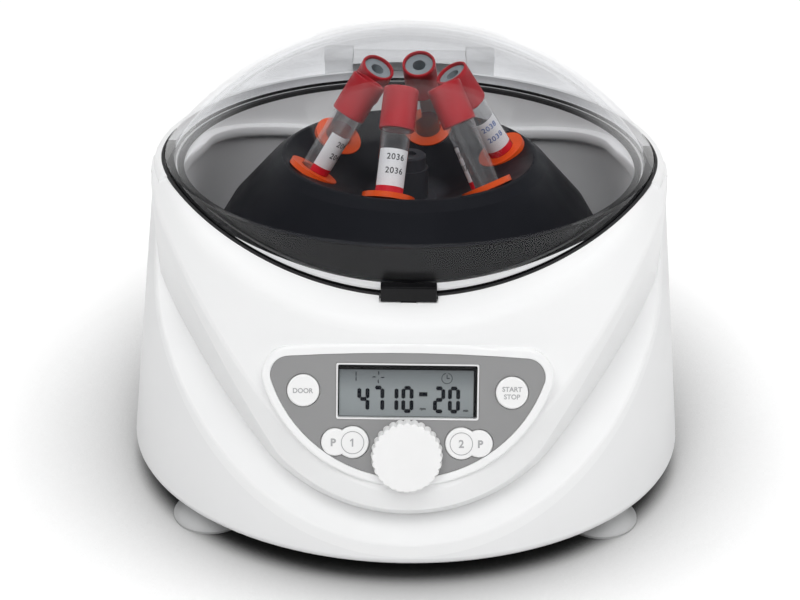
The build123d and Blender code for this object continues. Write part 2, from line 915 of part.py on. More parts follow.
with BuildPart() as chamber_bowl:
    outer_lower = bowl_lower_inner + bowl_wall
    outer_upper = bowl_upper_inner + bowl_wall
    floor_top = bowl_floor_z + bowl_wall
    with BuildSketch(Plane.XZ) as profile:
        with BuildLine():
            Polyline(
                (bowl_hole, bowl_floor_z),
                (outer_lower, bowl_floor_z),
                (outer_lower, bowl_ledge_z - bowl_wall),
                (outer_upper, bowl_ledge_z - bowl_wall),
                (outer_upper, bowl_wall_top_z),
                (bowl_upper_inner, bowl_wall_top_z),
                (bowl_upper_inner, bowl_ledge_z),
                (bowl_lower_inner, bowl_ledge_z),
                (bowl_lower_inner, floor_top),
                (bowl_hole + bowl_wall, floor_top),
                (bowl_hole + bowl_wall, bowl_collar_z),
                (bowl_hole, bowl_collar_z),
                (bowl_hole, bowl_floor_z),
            )
        make_face()
        inside_corner = profile.vertices().sort_by_distance((bowl_lower_inner, floor_top, 0))[0]
        fillet(inside_corner, bowl_corner)
        outside_corner = profile.vertices().sort_by_distance((outer_lower, bowl_floor_z, 0))[0]
        fillet(outside_corner, bowl_corner + bowl_wall)
    revolve(axis=Axis.Z)
    with BuildPart(mode=Mode.PRIVATE) as above_wall:
        add(ring(opening_radius, bowl_lower_inner, bowl_ledge_z - wall, span))
        add(below_saddle(-bowl_wall_rise), mode=Mode.SUBTRACT)
    add(above_wall.part, mode=Mode.SUBTRACT)
chamber_bowl.part.label = "chamber_bowl"
export_step(chamber_bowl.part, "parts/chamber_bowl.step")

with BuildPart() as chamber_gasket:
    gasket_top = bowl_wall_top_z + gasket_height
    add(ring(bowl_upper_inner + bowl_wall, bowl_upper_inner, bowl_wall_top_z, gasket_top))
    add(block(-span, span, -gasket_front, span, 0, span), mode=Mode.INTERSECT)
chamber_gasket.part.label = "chamber_gasket"
export_step(chamber_gasket.part, "parts/chamber_gasket.step")

# Rotor


def cone_z(radius):
    """Height of the rotor's dished top at a distance from its axis."""
    seat_top_z = seat_z + spot_depth / cos(radians(tube_tilt))
    return seat_top_z + (radius - seat_radius) * tan(radians(dish_slope))


with BuildPart() as rotor:
    bore = shaft_radius + shaft_fit
    with BuildSketch(Plane.XZ) as profile:
        with BuildLine():
            Polyline(
                (bore, hub_bottom_z),
                (rotor_recess_inner, hub_bottom_z),
                (rotor_recess_inner, rotor_recess_z),
                (rotor_recess_outer, rotor_recess_z),
                (rotor_recess_outer + rotor_recess_flare, rotor_bottom_z),
                (rotor_lip_radius, rotor_bottom_z),
                (rotor_lip_radius, rotor_lip_z),
                (rotor_side_radius, rotor_side_z),
                (rotor_neck_radius, rotor_neck_z),
                (rotor_rim_radius, cone_z(rotor_rim_radius)),
                (cone_inner_radius, cone_z(cone_inner_radius)),
                (hub_top_radius, cone_z(cone_inner_radius)),
                (hub_top_radius, hub_top_z),
                (bore, hub_top_z),
                (bore, hub_bottom_z),
            )
        make_face()
        rim_spots = ((rotor_neck_radius, rotor_neck_z), (rotor_rim_radius, cone_z(rotor_rim_radius)))
        for radius, height in rim_spots:
            corner = profile.vertices().sort_by_distance((radius, height, 0))[0]
            fillet(corner, rotor_rim_round)
        lip_corner = profile.vertices().sort_by_distance((rotor_lip_radius, rotor_lip_z, 0))[0]
        fillet(lip_corner, rotor_lip_round)
    revolve(axis=Axis.Z)
    for number in range(tube_count):
        add(tube_piece(number, flange_radius + bore_fit, 0, 0, cap_top), mode=Mode.SUBTRACT)
        add(tube_piece(number, sleeve_radius + bore_fit, 0, -bore_depth, 1), mode=Mode.SUBTRACT)
rotor.part.label = "rotor"
export_step(rotor.part, "parts/rotor.step")

with BuildPart() as rotor_nut:
    with BuildSketch(Plane.XY.offset(hub_top_z)):
        Circle(nut_radius)
    extrude(amount=nut_height)
    top = rotor_nut.faces().sort_by(Axis.Z)[-1]
    chamfer(top.edges(), nut_chamfer)
    with BuildSketch(Plane.XY.offset(hub_top_z + nut_height)):
        RegularPolygon(nut_socket_radius, 6)
    extrude(amount=-nut_socket_depth, mode=Mode.SUBTRACT)
    with BuildSketch(Plane.XY.offset(hub_top_z)):
        Circle(shaft_radius + shaft_fit)
    extrude(amount=nut_height - nut_roof, mode=Mode.SUBTRACT)
rotor_nut.part.label = "rotor_nut"
export_step(rotor_nut.part, "parts/rotor_nut.step")

for number in range(tube_count):
    name = f"tube_adapter_{number + 1}"
    with BuildPart() as adapter:
        add(tube_piece(number, flange_radius, tube_radius + tube_fit, 0, flange_height))
        add(tube_piece(number, sleeve_radius, tube_radius + tube_fit, -sleeve_length, 0))
        add(tube_piece(number, sleeve_radius, 0, -sleeve_length - 1, -sleeve_length))
    adapter.part.label = name
    export_step(adapter.part, f"parts/{name}.step")

    name = f"sample_tube_{number + 1}"
    tube_low = -sleeve_length + tube_radius
    tube_top = cap_top - cap_recess
    with BuildPart() as sample_tube:
        add(tube_piece(number, tube_radius, 0, tube_low, tube_top))
        with Locations(tube_plane(number, tube_low)):
            Sphere(tube_radius)
        add(tube_piece(number, tube_radius - tube_wall, 0, tube_low, tube_top), mode=Mode.SUBTRACT)
        with Locations(tube_plane(number, tube_low)):
            Sphere(tube_radius - tube_wall, mode=Mode.SUBTRACT)
    sample_tube.part.label = name
    export_step(sample_tube.part, f"parts/{name}.step")

    name = f"tube_cap_{number + 1}"
    cap_low = cap_top - cap_height
    with BuildPart() as tube_cap:
        add(tube_piece(number, cap_radius, tube_radius + tube_fit, cap_low, cap_top))
        fillet(tube_cap.edges().filter_by(GeomType.CIRCLE).sort_by(Axis.Z)[-2:], cap_edge_round)
    tube_cap.part.label = name
    export_step(tube_cap.part, f"parts/{name}.step")


with BuildPart() as tube_stoppers:
    stopper_radius = tube_radius - tube_wall - tube_fit
    stopper_top = cap_top - stopper_sink
    stopper_low = stopper_top - stopper_length
    for number in range(tube_count):
        add(tube_piece(number, stopper_radius, 0, stopper_low, tube_top))
        add(tube_piece(number, tube_radius, 0, tube_top, stopper_top))
        well = tube_piece(number, stopper_bore, 0, stopper_top - stopper_length / 2, stopper_top)
        add(well, mode=Mode.SUBTRACT)
tube_stoppers.part.label = "tube_stoppers"
export_step(tube_stoppers.part, "parts/tube_stoppers.step")

# Display, keys and knob

with BuildPart() as panel_overlay:
    add(from_panel(panel_outline(-display_gap), -overlay_level, overlay_thickness - overlay_level))
    for opening in panel_openings():
        add(from_panel(opening, -overlay_level - 1, overlay_level), mode=Mode.SUBTRACT)
panel_overlay.part.label = "panel_overlay"
export_step(panel_overlay.part, "parts/panel_overlay.step")

window_front = window_drop - overlay_level
window_back = window_front + window_thickness

with BuildPart() as display_bezel:
    add(from_panel(display_outline(), -overlay_level, plate_back))
    inside = from_panel(display_outline(-display_frame), -overlay_level - 1, plate_back + 1)
    add(inside, mode=Mode.SUBTRACT)
display_bezel.part.label = "display_bezel"
export_step(display_bezel.part, "parts/display_bezel.step")

with BuildPart() as display_window:
    add(from_panel(display_outline(-display_frame - tube_fit), window_front, window_back))
display_window.part.label = "display_window"
export_step(display_window.part, "parts/display_window.step")

with BuildPart() as display_module:
    add(from_panel(display_outline(-display_frame - tube_fit), plate_back, board_depth))
display_module.part.label = "display_module"
export_step(display_module.part, "parts/display_module.step")

button_front = -overlay_level - button_rise
flange_near = plate_back + button_gap
flange_far = flange_near + button_flange_height
switch_top = board_depth - switch_height
stem_end = switch_top - key_travel - button_travel_gap
keys = (
    ("door_button", round_key_outline, -1, (-main_button_x, main_button_v)),
    ("start_stop_button", round_key_outline, 1, (main_button_x, main_button_v)),
    ("program_1_button", program_outline, -1, (-program_x, program_v)),
    ("program_2_button", program_outline, 1, (program_x, program_v)),
)

for name, key_outline, side, centre in keys:
    with BuildPart() as key:
        add(from_panel(key_outline(side), button_front, flange_near))
        face = key.faces().sort_by(Axis.Y)[0]
        fillet(face.outer_wire().edges(), key_edge_round)
        with BuildSketch(shield_plane(flange_far)):
            with Locations(centre):
                Circle(button_radius + button_flange)
        extrude(amount=flange_far - flange_near)
        with BuildSketch(shield_plane(stem_end)):
            with Locations(centre):
                Circle(stem_radius)
        extrude(amount=stem_end - flange_far)
    key.part.label = name
    export_step(key.part, f"parts/{name}.step")

knob_base = -overlay_level - knob_gap
knob_top = knob_base - knob_height
shaft_tip = knob_top + knob_roof
knob_lobe_circle = knob_radius - knob_lobe_radius

with BuildPart() as speed_knob:
    with BuildSketch(shield_plane(knob_base)):
        with Locations((0, knob_v)):
            Circle(knob_lobe_circle)
            with PolarLocations(knob_lobe_circle, knob_lobes):
                Circle(knob_lobe_radius)
    extrude(amount=knob_height, taper=knob_taper)
    with BuildPart(mode=Mode.PRIVATE) as bound:
        with BuildSketch(shield_plane(knob_base)):
            with Locations((0, knob_v)):
                Circle(knob_radius)
        extrude(amount=knob_height)
        top = bound.faces().sort_by(Axis.Y)[0]
        chamfer(top.edges(), knob_edge_chamfer)
    add(bound.part, mode=Mode.INTERSECT)
    with BuildSketch(shield_plane(knob_base)):
        with Locations((0, knob_v)):
            Circle(knob_shaft_radius + shaft_fit)
    extrude(amount=knob_base - shaft_tip, mode=Mode.SUBTRACT)
speed_knob.part.label = "speed_knob"
export_step(speed_knob.part, "parts/speed_knob.step")

shaft_end = board_depth - encoder_floor
with BuildPart() as knob_shaft:
    add(from_panel(knob_outline(knob_shaft_radius), shaft_tip, shaft_end))
knob_shaft.part.label = "knob_shaft"
export_step(knob_shaft.part, "parts/knob_shaft.step")

with BuildPart() as encoder:
    with BuildSketch(shield_plane(board_depth)):
        with Locations((0, knob_v)):
            Rectangle(2 * encoder_half, 2 * encoder_half)
    extrude(amount=encoder_height)
    bearing = from_panel(knob_outline(knob_shaft_radius + encoder_fit), 0, shaft_end + shaft_gap)
    add(bearing, mode=Mode.SUBTRACT)
encoder.part.label = "encoder"
export_step(encoder.part, "parts/encoder.step")

with BuildPart() as control_board:
    add(from_panel(panel_outline(-board_inset), board_depth, board_depth + board_thickness))
    with BuildSketch(shield_plane(board_depth)):
        with Locations(*[centre for _, _, _, centre in keys]):
            Rectangle(2 * switch_half, 2 * switch_half)
    extrude(amount=switch_height)
    with BuildSketch(shield_plane(board_depth + board_thickness)):
        with Locations(*chip_spots):
            Rectangle(*chip_size)
        with Locations(header_spot):
            Rectangle(*header_size)
    extrude(amount=-chip_height)
    with BuildSketch(shield_plane(board_depth + board_thickness)):
        with Locations(*post_spots):
            Circle(screw_radius + shaft_fit)
    extrude(amount=board_thickness, mode=Mode.SUBTRACT)
control_board.part.label = "control_board"
export_step(control_board.part, "parts/control_board.step")

with BuildPart() as board_screws:
    board_back = board_depth + board_thickness
    with BuildSketch(shield_plane(board_back)):
        with Locations(*post_spots):
            Circle(screw_radius)
    extrude(amount=board_back - plate_back - board_screw_gap)
    with BuildSketch(shield_plane(board_back)):
        with Locations(*post_spots):
            Circle(screw_head_radius)
    extrude(amount=-screw_head_height)
board_screws.part.label = "board_screws"
export_step(board_screws.part, "parts/board_screws.step")

# Base, motor and feet

foot_spots = [(side * foot_x, -foot_front) for side in (-1, 1)]
foot_spots += [(side * foot_rear_x, foot_rear) for side in (-1, 1)]
mount_spots = [(x, y) for x in (-mount_spread, mount_spread) for y in (-mount_spread, mount_spread)]
plate_low_z = pan_top_z + mount_height
plate_top_z = plate_low_z + plate_thickness
power_post_x = (-power_post_half_x, power_post_half_x)
power_post_y = (power_board_y - power_post_half_y, power_board_y + power_post_half_y)
board_spots = [(x, y) for x in power_post_x for y in power_post_y]

with BuildPart() as base_pan:
    add(bucket(wall + pan_gap))
    add(block(-span, span, -span, span, base_z, pan_top_z), mode=Mode.INTERSECT)
    with BuildSketch(Plane.XY.offset(pan_top_z)):
        with PolarLocations(post_circle, 4, start_angle=45):
            Circle(post_radius)
    extrude(amount=bowl_floor_z - pan_top_z)
    with BuildSketch(Plane.XY.offset(pan_top_z)):
        with Locations(*board_spots):
            Circle(board_post_radius)
    extrude(amount=power_board_z - pan_top_z)
    with BuildSketch(Plane.XY.offset(base_z)):
        with Locations(*boss_places):
            Circle(screw_head_radius + button_gap)
    extrude(amount=screw_head_height, mode=Mode.SUBTRACT)
    with BuildSketch(Plane.XY.offset(base_z)):
        with Locations(*boss_places):
            Circle(screw_radius + shaft_fit)
        with Locations(*foot_spots):
            Circle(foot_screw_radius + shaft_fit)
    extrude(amount=pan_thickness, mode=Mode.SUBTRACT)
base_pan.part.label = "base_pan"
export_step(base_pan.part, "parts/base_pan.step")

with BuildPart() as base_screws:
    with BuildSketch(Plane.XY.offset(base_z)):
        with Locations(*boss_places):
            Circle(screw_head_radius)
    extrude(amount=screw_head_height)
    with BuildSketch(Plane.XY.offset(base_z + screw_head_height)):
        with Locations(*boss_places):
            Circle(screw_radius)
    extrude(amount=boss_top_z - boss_roof - boss_screw_gap - base_z - screw_head_height)
base_screws.part.label = "base_screws"
export_step(base_screws.part, "parts/base_screws.step")

foot_bore = foot_screw_radius + shaft_fit

with BuildPart() as suction_foot:
    with BuildSketch(Plane.XZ):
        with BuildLine():
            Line((foot_radius - foot_lip, 0), (foot_radius, 0))
            Line((foot_radius, 0), (foot_radius, foot_lip_height))
            ThreePointArc(
                (foot_radius, foot_lip_height),
                (foot_waist_radius, foot_waist_z),
                (foot_neck_radius, foot_neck_z),
            )
            Line((foot_neck_radius, foot_neck_z), (foot_neck_radius, base_z))
            Line((foot_neck_radius, base_z), (foot_bore, base_z))
            Line((foot_bore, base_z), (foot_bore, foot_screw_low_z))
            Line((foot_bore, foot_screw_low_z), (0, foot_screw_low_z))
            Line((0, foot_screw_low_z), (0, foot_hollow_z))
            ThreePointArc(
                (0, foot_hollow_z),
                (foot_radius / 2, foot_hollow_mid_z),
                (foot_radius - foot_lip, 0),
            )
        make_face()
    revolve(axis=Axis.Z)

with BuildPart() as feet:
    for x, y in foot_spots:
        with Locations((x, y, 0)):
            add(suction_foot.part)
feet.part.label = "feet"
export_step(feet.part, "parts/feet.step")

with BuildPart() as foot_screws:
    with BuildSketch(Plane.XY.offset(pan_top_z)):
        with Locations(*foot_spots):
            Circle(foot_screw_head)
    extrude(amount=screw_head_height)
    with BuildSketch(Plane.XY.offset(pan_top_z)):
        with Locations(*foot_spots):
            Circle(foot_screw_radius)
    extrude(amount=-(pan_top_z - foot_screw_low_z))
foot_screws.part.label = "foot_screws"
export_step(foot_screws.part, "parts/foot_screws.step")

with BuildPart() as rubber_mounts:
    with BuildSketch(Plane.XY.offset(pan_top_z)):
        with Locations(*mount_spots):
            Circle(mount_radius)
    extrude(amount=mount_height)
rubber_mounts.part.label = "rubber_mounts"
export_step(rubber_mounts.part, "parts/rubber_mounts.step")

with BuildPart() as motor_plate:
    with BuildSketch(Plane.XY.offset(plate_low_z)):
        RectangleRounded(2 * plate_half, 2 * plate_half, plate_corner)
        Circle(motor_boss_radius, mode=Mode.SUBTRACT)
    extrude(amount=plate_thickness)
motor_plate.part.label = "motor_plate"
export_step(motor_plate.part, "parts/motor_plate.step")

motor_top_z = plate_top_z + motor_height
shaft_low_z = plate_top_z + motor_floor
shaft_top_z = hub_top_z + nut_height - nut_roof - shaft_top_gap

with BuildPart() as motor:
    with BuildSketch(Plane.XY.offset(plate_top_z)):
        Circle(motor_radius)
    extrude(amount=motor_height)
    fillet(motor.edges().filter_by(GeomType.CIRCLE), motor_round)
    with BuildSketch(Plane.XY.offset(motor_top_z)):
        Circle(motor_boss_radius)
    extrude(amount=motor_boss_height)
    with BuildSketch(Plane.XY.offset(shaft_low_z - shaft_gap)):
        Circle(shaft_radius + plunger_fit)
    extrude(amount=span, mode=Mode.SUBTRACT)
motor.part.label = "motor"
export_step(motor.part, "parts/motor.step")

with BuildPart() as motor_shaft:
    with BuildSketch(Plane.XY.offset(shaft_low_z)):
        Circle(shaft_radius)
    extrude(amount=shaft_top_z - shaft_low_z)
motor_shaft.part.label = "motor_shaft"
export_step(motor_shaft.part, "parts/motor_shaft.step")

# Rear power entry

inlet_back = entry_face_y + inlet_flange - inlet_depth
with BuildPart() as power_inlet:
    half_x = inlet_socket_half_width + entry_wall - shaft_fit
    half_z = inlet_socket_half_height + inlet_wall - shaft_fit
    x_sides = (inlet_x - half_x, inlet_x + half_x)
    z_sides = (inlet_z - half_z, inlet_z + half_z)
    add(block(*x_sides, inlet_back, entry_face_y, *z_sides))
    flange_x = (x_sides[0] - inlet_flange_margin, x_sides[1] + inlet_flange_margin)
    flange_z = (z_sides[0] - inlet_flange_margin, z_sides[1] + inlet_flange_margin)
    add(block(*flange_x, entry_face_y, entry_face_y + inlet_flange, *flange_z))
    socket_y = entry_face_y + inlet_flange - inlet_socket_depth
    socket_x = (inlet_x - inlet_socket_half_width, inlet_x + inlet_socket_half_width)
    socket_z = (inlet_z - inlet_socket_half_height, inlet_z + inlet_socket_half_height)
    add(block(*socket_x, socket_y, span, *socket_z), mode=Mode.SUBTRACT)
    for x, z in inlet_pins:
        pin_x = (inlet_x + x - inlet_pin_half_width, inlet_x + x + inlet_pin_half_width)
        pin_z = (inlet_z + z - inlet_pin_half_height, inlet_z + z + inlet_pin_half_height)
        add(block(*pin_x, socket_y, socket_y + inlet_pin_length, *pin_z))
power_inlet.part.label = "power_inlet"
export_step(power_inlet.part, "parts/power_inlet.step")

rocker_half = switch_half_width - rocker_margin_x
rocker_depth = switch_half_height - rocker_margin_z
with BuildPart() as power_switch:
    body_x = (power_switch_x - switch_half_width + shaft_fit, power_switch_x + switch_half_width - shaft_fit)
    body_z = (inlet_z - switch_half_height + shaft_fit, inlet_z + switch_half_height - shaft_fit)
    add(block(*body_x, inlet_back, entry_face_y, *body_z))
    rim_x = (body_x[0] - switch_rim, body_x[1] + switch_rim)
    rim_z = (body_z[0] - switch_rim, body_z[1] + switch_rim)
    add(block(*rim_x, entry_face_y, entry_face_y + inlet_flange, *rim_z))
    well_x = (power_switch_x - rocker_half - rocker_gap, power_switch_x + rocker_half + rocker_gap)
    well_z = (inlet_z - rocker_depth - rocker_gap, inlet_z + rocker_depth + rocker_gap)
    add(block(*well_x, entry_face_y - switch_well, span, *well_z), mode=Mode.SUBTRACT)
    with Locations((power_switch_x, entry_face_y, inlet_z)):
        Cylinder(rocker_pin_radius + plunger_fit, 2 * (rocker_depth + rocker_pin_seat), mode=Mode.SUBTRACT)
power_switch.part.label = "power_switch"
export_step(power_switch.part, "parts/power_switch.step")

with BuildPart() as switch_rocker:
    reach = rocker_half - rocker_end_gap
    with BuildSketch(Plane.XY.offset(-rocker_depth)):
        with BuildLine():
            Polyline(
                (-reach, rocker_end_back),
                (-reach, rocker_end_front),
                (0, rocker_middle_front),
                (reach, rocker_end_front),
                (reach, rocker_end_back),
                (0, rocker_middle_back),
                (-reach, rocker_end_back),
            )
        make_face()
    extrude(amount=2 * rocker_depth)
    Cylinder(rocker_pin_radius, 2 * (rocker_depth + rocker_pin_reach))
switch_rocker.part = switch_rocker.part.rotate(Axis.Z, -rocker_tilt).moved(
    Location((power_switch_x, entry_face_y, inlet_z))
)
switch_rocker.part.label = "switch_rocker"
export_step(switch_rocker.part, "parts/switch_rocker.step")

with BuildPart() as power_board:
    y_sides = (power_board_y - power_board_half_y, power_board_y + power_board_half_y)
    top_z = power_board_z + board_thickness
    add(block(-board_half, board_half, *y_sides, power_board_z, top_z))
    transformer_y = (y_sides[0] + transformer_margin, y_sides[1] - transformer_margin)
    add(block(*transformer_x, *transformer_y, top_z, top_z + transformer_height))
    for x in capacitor_x:
        with Locations((x, power_board_y, top_z + transformer_height / 2)):
            Cylinder(capacitor_radius, transformer_height)
    plug_y = (y_sides[0] + plug_margin, y_sides[1] - plug_margin)
    add(block(*plug_x, *plug_y, top_z, top_z + plug_height))
power_board.part.label = "power_board"
export_step(power_board.part, "parts/power_board.step")
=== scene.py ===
import math

import bmesh
import bpy
from mathutils import Matrix, Vector


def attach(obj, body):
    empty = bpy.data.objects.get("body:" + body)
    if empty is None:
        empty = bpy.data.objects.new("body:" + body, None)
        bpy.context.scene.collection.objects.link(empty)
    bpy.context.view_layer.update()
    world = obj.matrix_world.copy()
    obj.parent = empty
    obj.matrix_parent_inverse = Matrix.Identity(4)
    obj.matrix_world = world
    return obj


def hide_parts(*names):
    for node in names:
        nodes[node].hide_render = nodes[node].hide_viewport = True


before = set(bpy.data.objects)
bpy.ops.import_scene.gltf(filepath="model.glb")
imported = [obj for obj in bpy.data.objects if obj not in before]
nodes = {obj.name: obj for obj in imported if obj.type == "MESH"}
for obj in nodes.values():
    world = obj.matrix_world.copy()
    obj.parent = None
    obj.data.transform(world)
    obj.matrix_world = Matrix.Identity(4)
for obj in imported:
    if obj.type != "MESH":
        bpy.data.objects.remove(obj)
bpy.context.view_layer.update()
scene = bpy.context.scene
MM = 0.001


# Materials

white = (1, 1, 1)
whole = (0.0, 1.0)
cloudy = (0.3, 0.7)


def start_material(name):
    """A node material, with its shader and its object coordinates in metres."""
    material = bpy.data.materials.new(name)
    material.use_nodes = True
    tree = material.node_tree
    place = tree.nodes.new("ShaderNodeTexCoord")
    return material, tree, tree.nodes["Principled BSDF"], place.outputs["Object"]


def feed(tree, socket, value):
    """Links a socket to a node's output, or sets it to a colour or a plain number."""
    if isinstance(value, bpy.types.NodeSocket):
        tree.links.new(value, socket)
    elif isinstance(value, tuple):
        socket.default_value = (*value, 1)
    else:
        socket.default_value = value


def stretched(tree, spot, scale):
    """Coordinates scaled apart along X, Y and Z."""
    mapping = tree.nodes.new("ShaderNodeMapping")
    mapping.inputs["Scale"].default_value = scale
    tree.links.new(spot, mapping.inputs["Vector"])
    return mapping.outputs["Vector"]


def noise(tree, spot, scale, detail=3.0, roughness=0.55):
    """Cloudy pattern of a given fineness, per metre."""
    cloud = tree.nodes.new("ShaderNodeTexNoise")
    cloud.inputs["Scale"].default_value = scale
    cloud.inputs["Detail"].default_value = detail
    cloud.inputs["Roughness"].default_value = roughness
    tree.links.new(spot, cloud.inputs["Vector"])
    return cloud.outputs["Fac"]


def spread(tree, value, source, target, curve="LINEAR"):
    """Maps one range of a pattern onto another."""
    ranged = tree.nodes.new("ShaderNodeMapRange")
    ranged.interpolation_type = curve
    for name, limit in zip(("From Min", "From Max", "To Min", "To Max"), (*source, *target)):
        ranged.inputs[name].default_value = limit
    tree.links.new(value, ranged.inputs["Value"])
    return ranged.outputs["Result"]


def blend(tree, value, first, second, kind="RGBA"):
    """Goes from one colour or number to another with a pattern."""
    mix = tree.nodes.new("ShaderNodeMix")
    mix.data_type = kind
    feed(tree, mix.inputs["A"], first)
    feed(tree, mix.inputs["B"], second)
    tree.links.new(value, mix.inputs["Factor"])
    return mix.outputs["Result"]


def reckon(tree, operation, first, second):
    """Result of a calculation on an output and another output or a number."""
    step = tree.nodes.new("ShaderNodeMath")
    step.operation = operation
    feed(tree, step.inputs[0], first)
    feed(tree, step.inputs[1], second)
    return step.outputs["Value"]


def from_origin(tree, spot):
    """How far a place is from the origin."""
    measure = tree.nodes.new("ShaderNodeVectorMath")
    measure.operation = "LENGTH"
    tree.links.new(spot, measure.inputs[0])
    return measure.outputs["Value"]


def layered(tree, share, under, over):
    """One shader over another, by the share of the upper one."""
    layers = tree.nodes.new("ShaderNodeMixShader")
    tree.links.new(share, layers.inputs["Fac"])
    tree.links.new(under, layers.inputs[1])
    tree.links.new(over, layers.inputs[2])
    return layers.outputs["Shader"]


def relief(tree, shader, height, distance, strength, below=None):
    """Raises the surface with a pattern, on top of another relief if one is given."""
    bump = tree.nodes.new("ShaderNodeBump")
    bump.inputs["Distance"].default_value = distance
    bump.inputs["Strength"].default_value = strength
    tree.links.new(height, bump.inputs["Height"])
    if below is not None:
        tree.links.new(below, bump.inputs["Normal"])
    tree.links.new(bump.outputs["Normal"], shader.inputs["Normal"])
    return bump.outputs["Normal"]


def moulded(name, colour, other, rough, grain, depth, patch=14.0, shine=0.5):
    """Moulded plastic: two close tones in soft patches, fine sparked grain and uneven gloss."""
    handled_finer = 3.3
    swell_scale, swell_depth = 55.0, 0.00006
    material, tree, shader, spot = start_material(name)
    tone = spread(tree, noise(tree, spot, patch, detail=4.0), cloudy, whole)
    feed(tree, shader.inputs["Base Color"], blend(tree, tone, colour, other))
    handled = noise(tree, spot, patch * handled_finer, detail=5.0, roughness=0.6)
    gloss = spread(tree, handled, (0.3, 0.72), (rough - 0.05, rough + 0.07))
    feed(tree, shader.inputs["Roughness"], gloss)
    swell = relief(tree, shader, noise(tree, spot, swell_scale, detail=2.0), swell_depth, strength=0.35)
    relief(tree, shader, noise(tree, spot, grain, detail=2.0), depth, strength=0.5, below=swell)
    shader.inputs["IOR"].default_value = 1.5
    shader.inputs["Specular IOR Level"].default_value = shine
    return material


def see_through(name, tint, other, rough, shine, film=0.0):
    """Clear moulding: passes light with a slight tint and mirrors more at a glancing angle."""
    glancing_power, glancing_most = 4.0, 0.6
    haze_colour = (0.8, 0.81, 0.82)
    material, tree, shader, spot = start_material(name)
    tree.nodes.remove(shader)
    smoked = blend(tree, spread(tree, noise(tree, spot, 9.0), cloudy, whole), tint, other)
    rays = tree.nodes.new("ShaderNodeLightPath")
    clear = tree.nodes.new("ShaderNodeBsdfTransparent")
    feed(tree, clear.inputs["Color"], blend(tree, rays.outputs["Is Shadow Ray"], smoked, white))
    gloss = tree.nodes.new("ShaderNodeBsdfAnisotropic")
    feed(tree, gloss.inputs["Color"], white)
    smear = noise(tree, spot, 38.0, detail=4.0, roughness=0.6)
    feed(tree, gloss.inputs["Roughness"], spread(tree, smear, cloudy, (rough * 0.7, rough * 1.5)))
    facing = tree.nodes.new("ShaderNodeLayerWeight")
    facing.inputs["Blend"].default_value = 0.5
    glance = reckon(tree, "POWER", facing.outputs["Facing"], glancing_power)
    share = spread(tree, glance, whole, (shine, glancing_most))
    surface = layered(tree, share, clear.outputs["BSDF"], gloss.outputs["BSDF"])
    if film:
        haze = tree.nodes.new("ShaderNodeBsdfDiffuse")
        feed(tree, haze.inputs["Color"], haze_colour)
        dust = noise(tree, spot, 30.0, detail=5.0, roughness=0.65)
        amount = spread(tree, dust, (0.35, 0.75), (film * 0.6, film * 1.4))
        surface = layered(tree, amount, surface, haze.outputs["BSDF"])
    feed(tree, tree.nodes["Material Output"].inputs["Surface"], surface)
    return material


def metal(name, colour, other, rough, lines, metallic=1.0):
    """Metal with fine drawn lines along one direction and uneven shine."""
    material, tree, shader, spot = start_material(name)
    shader.inputs["Metallic"].default_value = metallic
    streaks = noise(tree, stretched(tree, spot, lines), 1.0, detail=4.0, roughness=0.6)
    feed(tree, shader.inputs["Base Color"], blend(tree, streaks, colour, other))
    feed(tree, shader.inputs["Roughness"], spread(tree, streaks, cloudy, (rough - 0.06, rough + 0.08)))
    relief(tree, shader, streaks, distance=0.00002, strength=0.3)
    return material


def turned(name, colour, other, rough, pitch, shine=0.5, hub_sheen=None):
    """Satin surface with very fine rings along the spindle; its last argument is a lighter colour near the
    spindle, a painted sheen.
    """
    hub_edge = (0.020, 0.014)
    material, tree, shader, spot = start_material(name)
    surface = blend(tree, spread(tree, noise(tree, spot, 18.0, detail=4.0), cloudy, whole), colour, other)
    # Painted sheen: a lighter colour near the spindle
    if hub_sheen:
        from_spindle = from_origin(tree, stretched(tree, spot, (1.0, 1.0, 0.0)))
        surface = blend(tree, spread(tree, from_spindle, hub_edge, whole), surface, hub_sheen)
    feed(tree, shader.inputs["Base Color"], surface)
    wear = noise(tree, spot, 60.0, detail=4.0)
    feed(tree, shader.inputs["Roughness"], spread(tree, wear, cloudy, (rough - 0.05, rough + 0.08)))
    shader.inputs["Specular IOR Level"].default_value = shine
    rings = tree.nodes.new("ShaderNodeTexWave")
    rings.wave_type = "BANDS"
    rings.bands_direction = "Z"
    rings.inputs["Scale"].default_value = pitch
    rings.inputs["Distortion"].default_value = 0.6
    rings.inputs["Detail"].default_value = 2.0
    tree.links.new(spot, rings.inputs["Vector"])
    first = relief(tree, shader, rings.outputs["Fac"], distance=0.00002, strength=0.25)
    speckle = noise(tree, spot, 1500.0, detail=2.0)
    relief(tree, shader, speckle, distance=0.00003, strength=0.35, below=first)
    return material


def display_face():
    """Liquid-crystal panel: cool grey, darkened towards its top edge by painted shade from the window's
    frame, with a very fine grain.
    """
    shade_heights = (0.080, 0.0915)
    low_colour, shaded_top_colour = (0.30, 0.325, 0.335), (0.07, 0.08, 0.088)
    material, tree, shader, spot = start_material("display_grey")
    parts = tree.nodes.new("ShaderNodeSeparateXYZ")
    tree.links.new(spot, parts.inputs["Vector"])
    height = spread(tree, parts.outputs["Z"], shade_heights, whole)
    feed(tree, shader.inputs["Base Color"], blend(tree, height, low_colour, shaded_top_colour))
    feed(tree, shader.inputs["Roughness"], spread(tree, noise(tree, spot, 220.0), cloudy, (0.3, 0.42)))
    relief(tree, shader, noise(tree, spot, 2600.0, detail=1.0), distance=0.00001, strength=0.3)
    return material


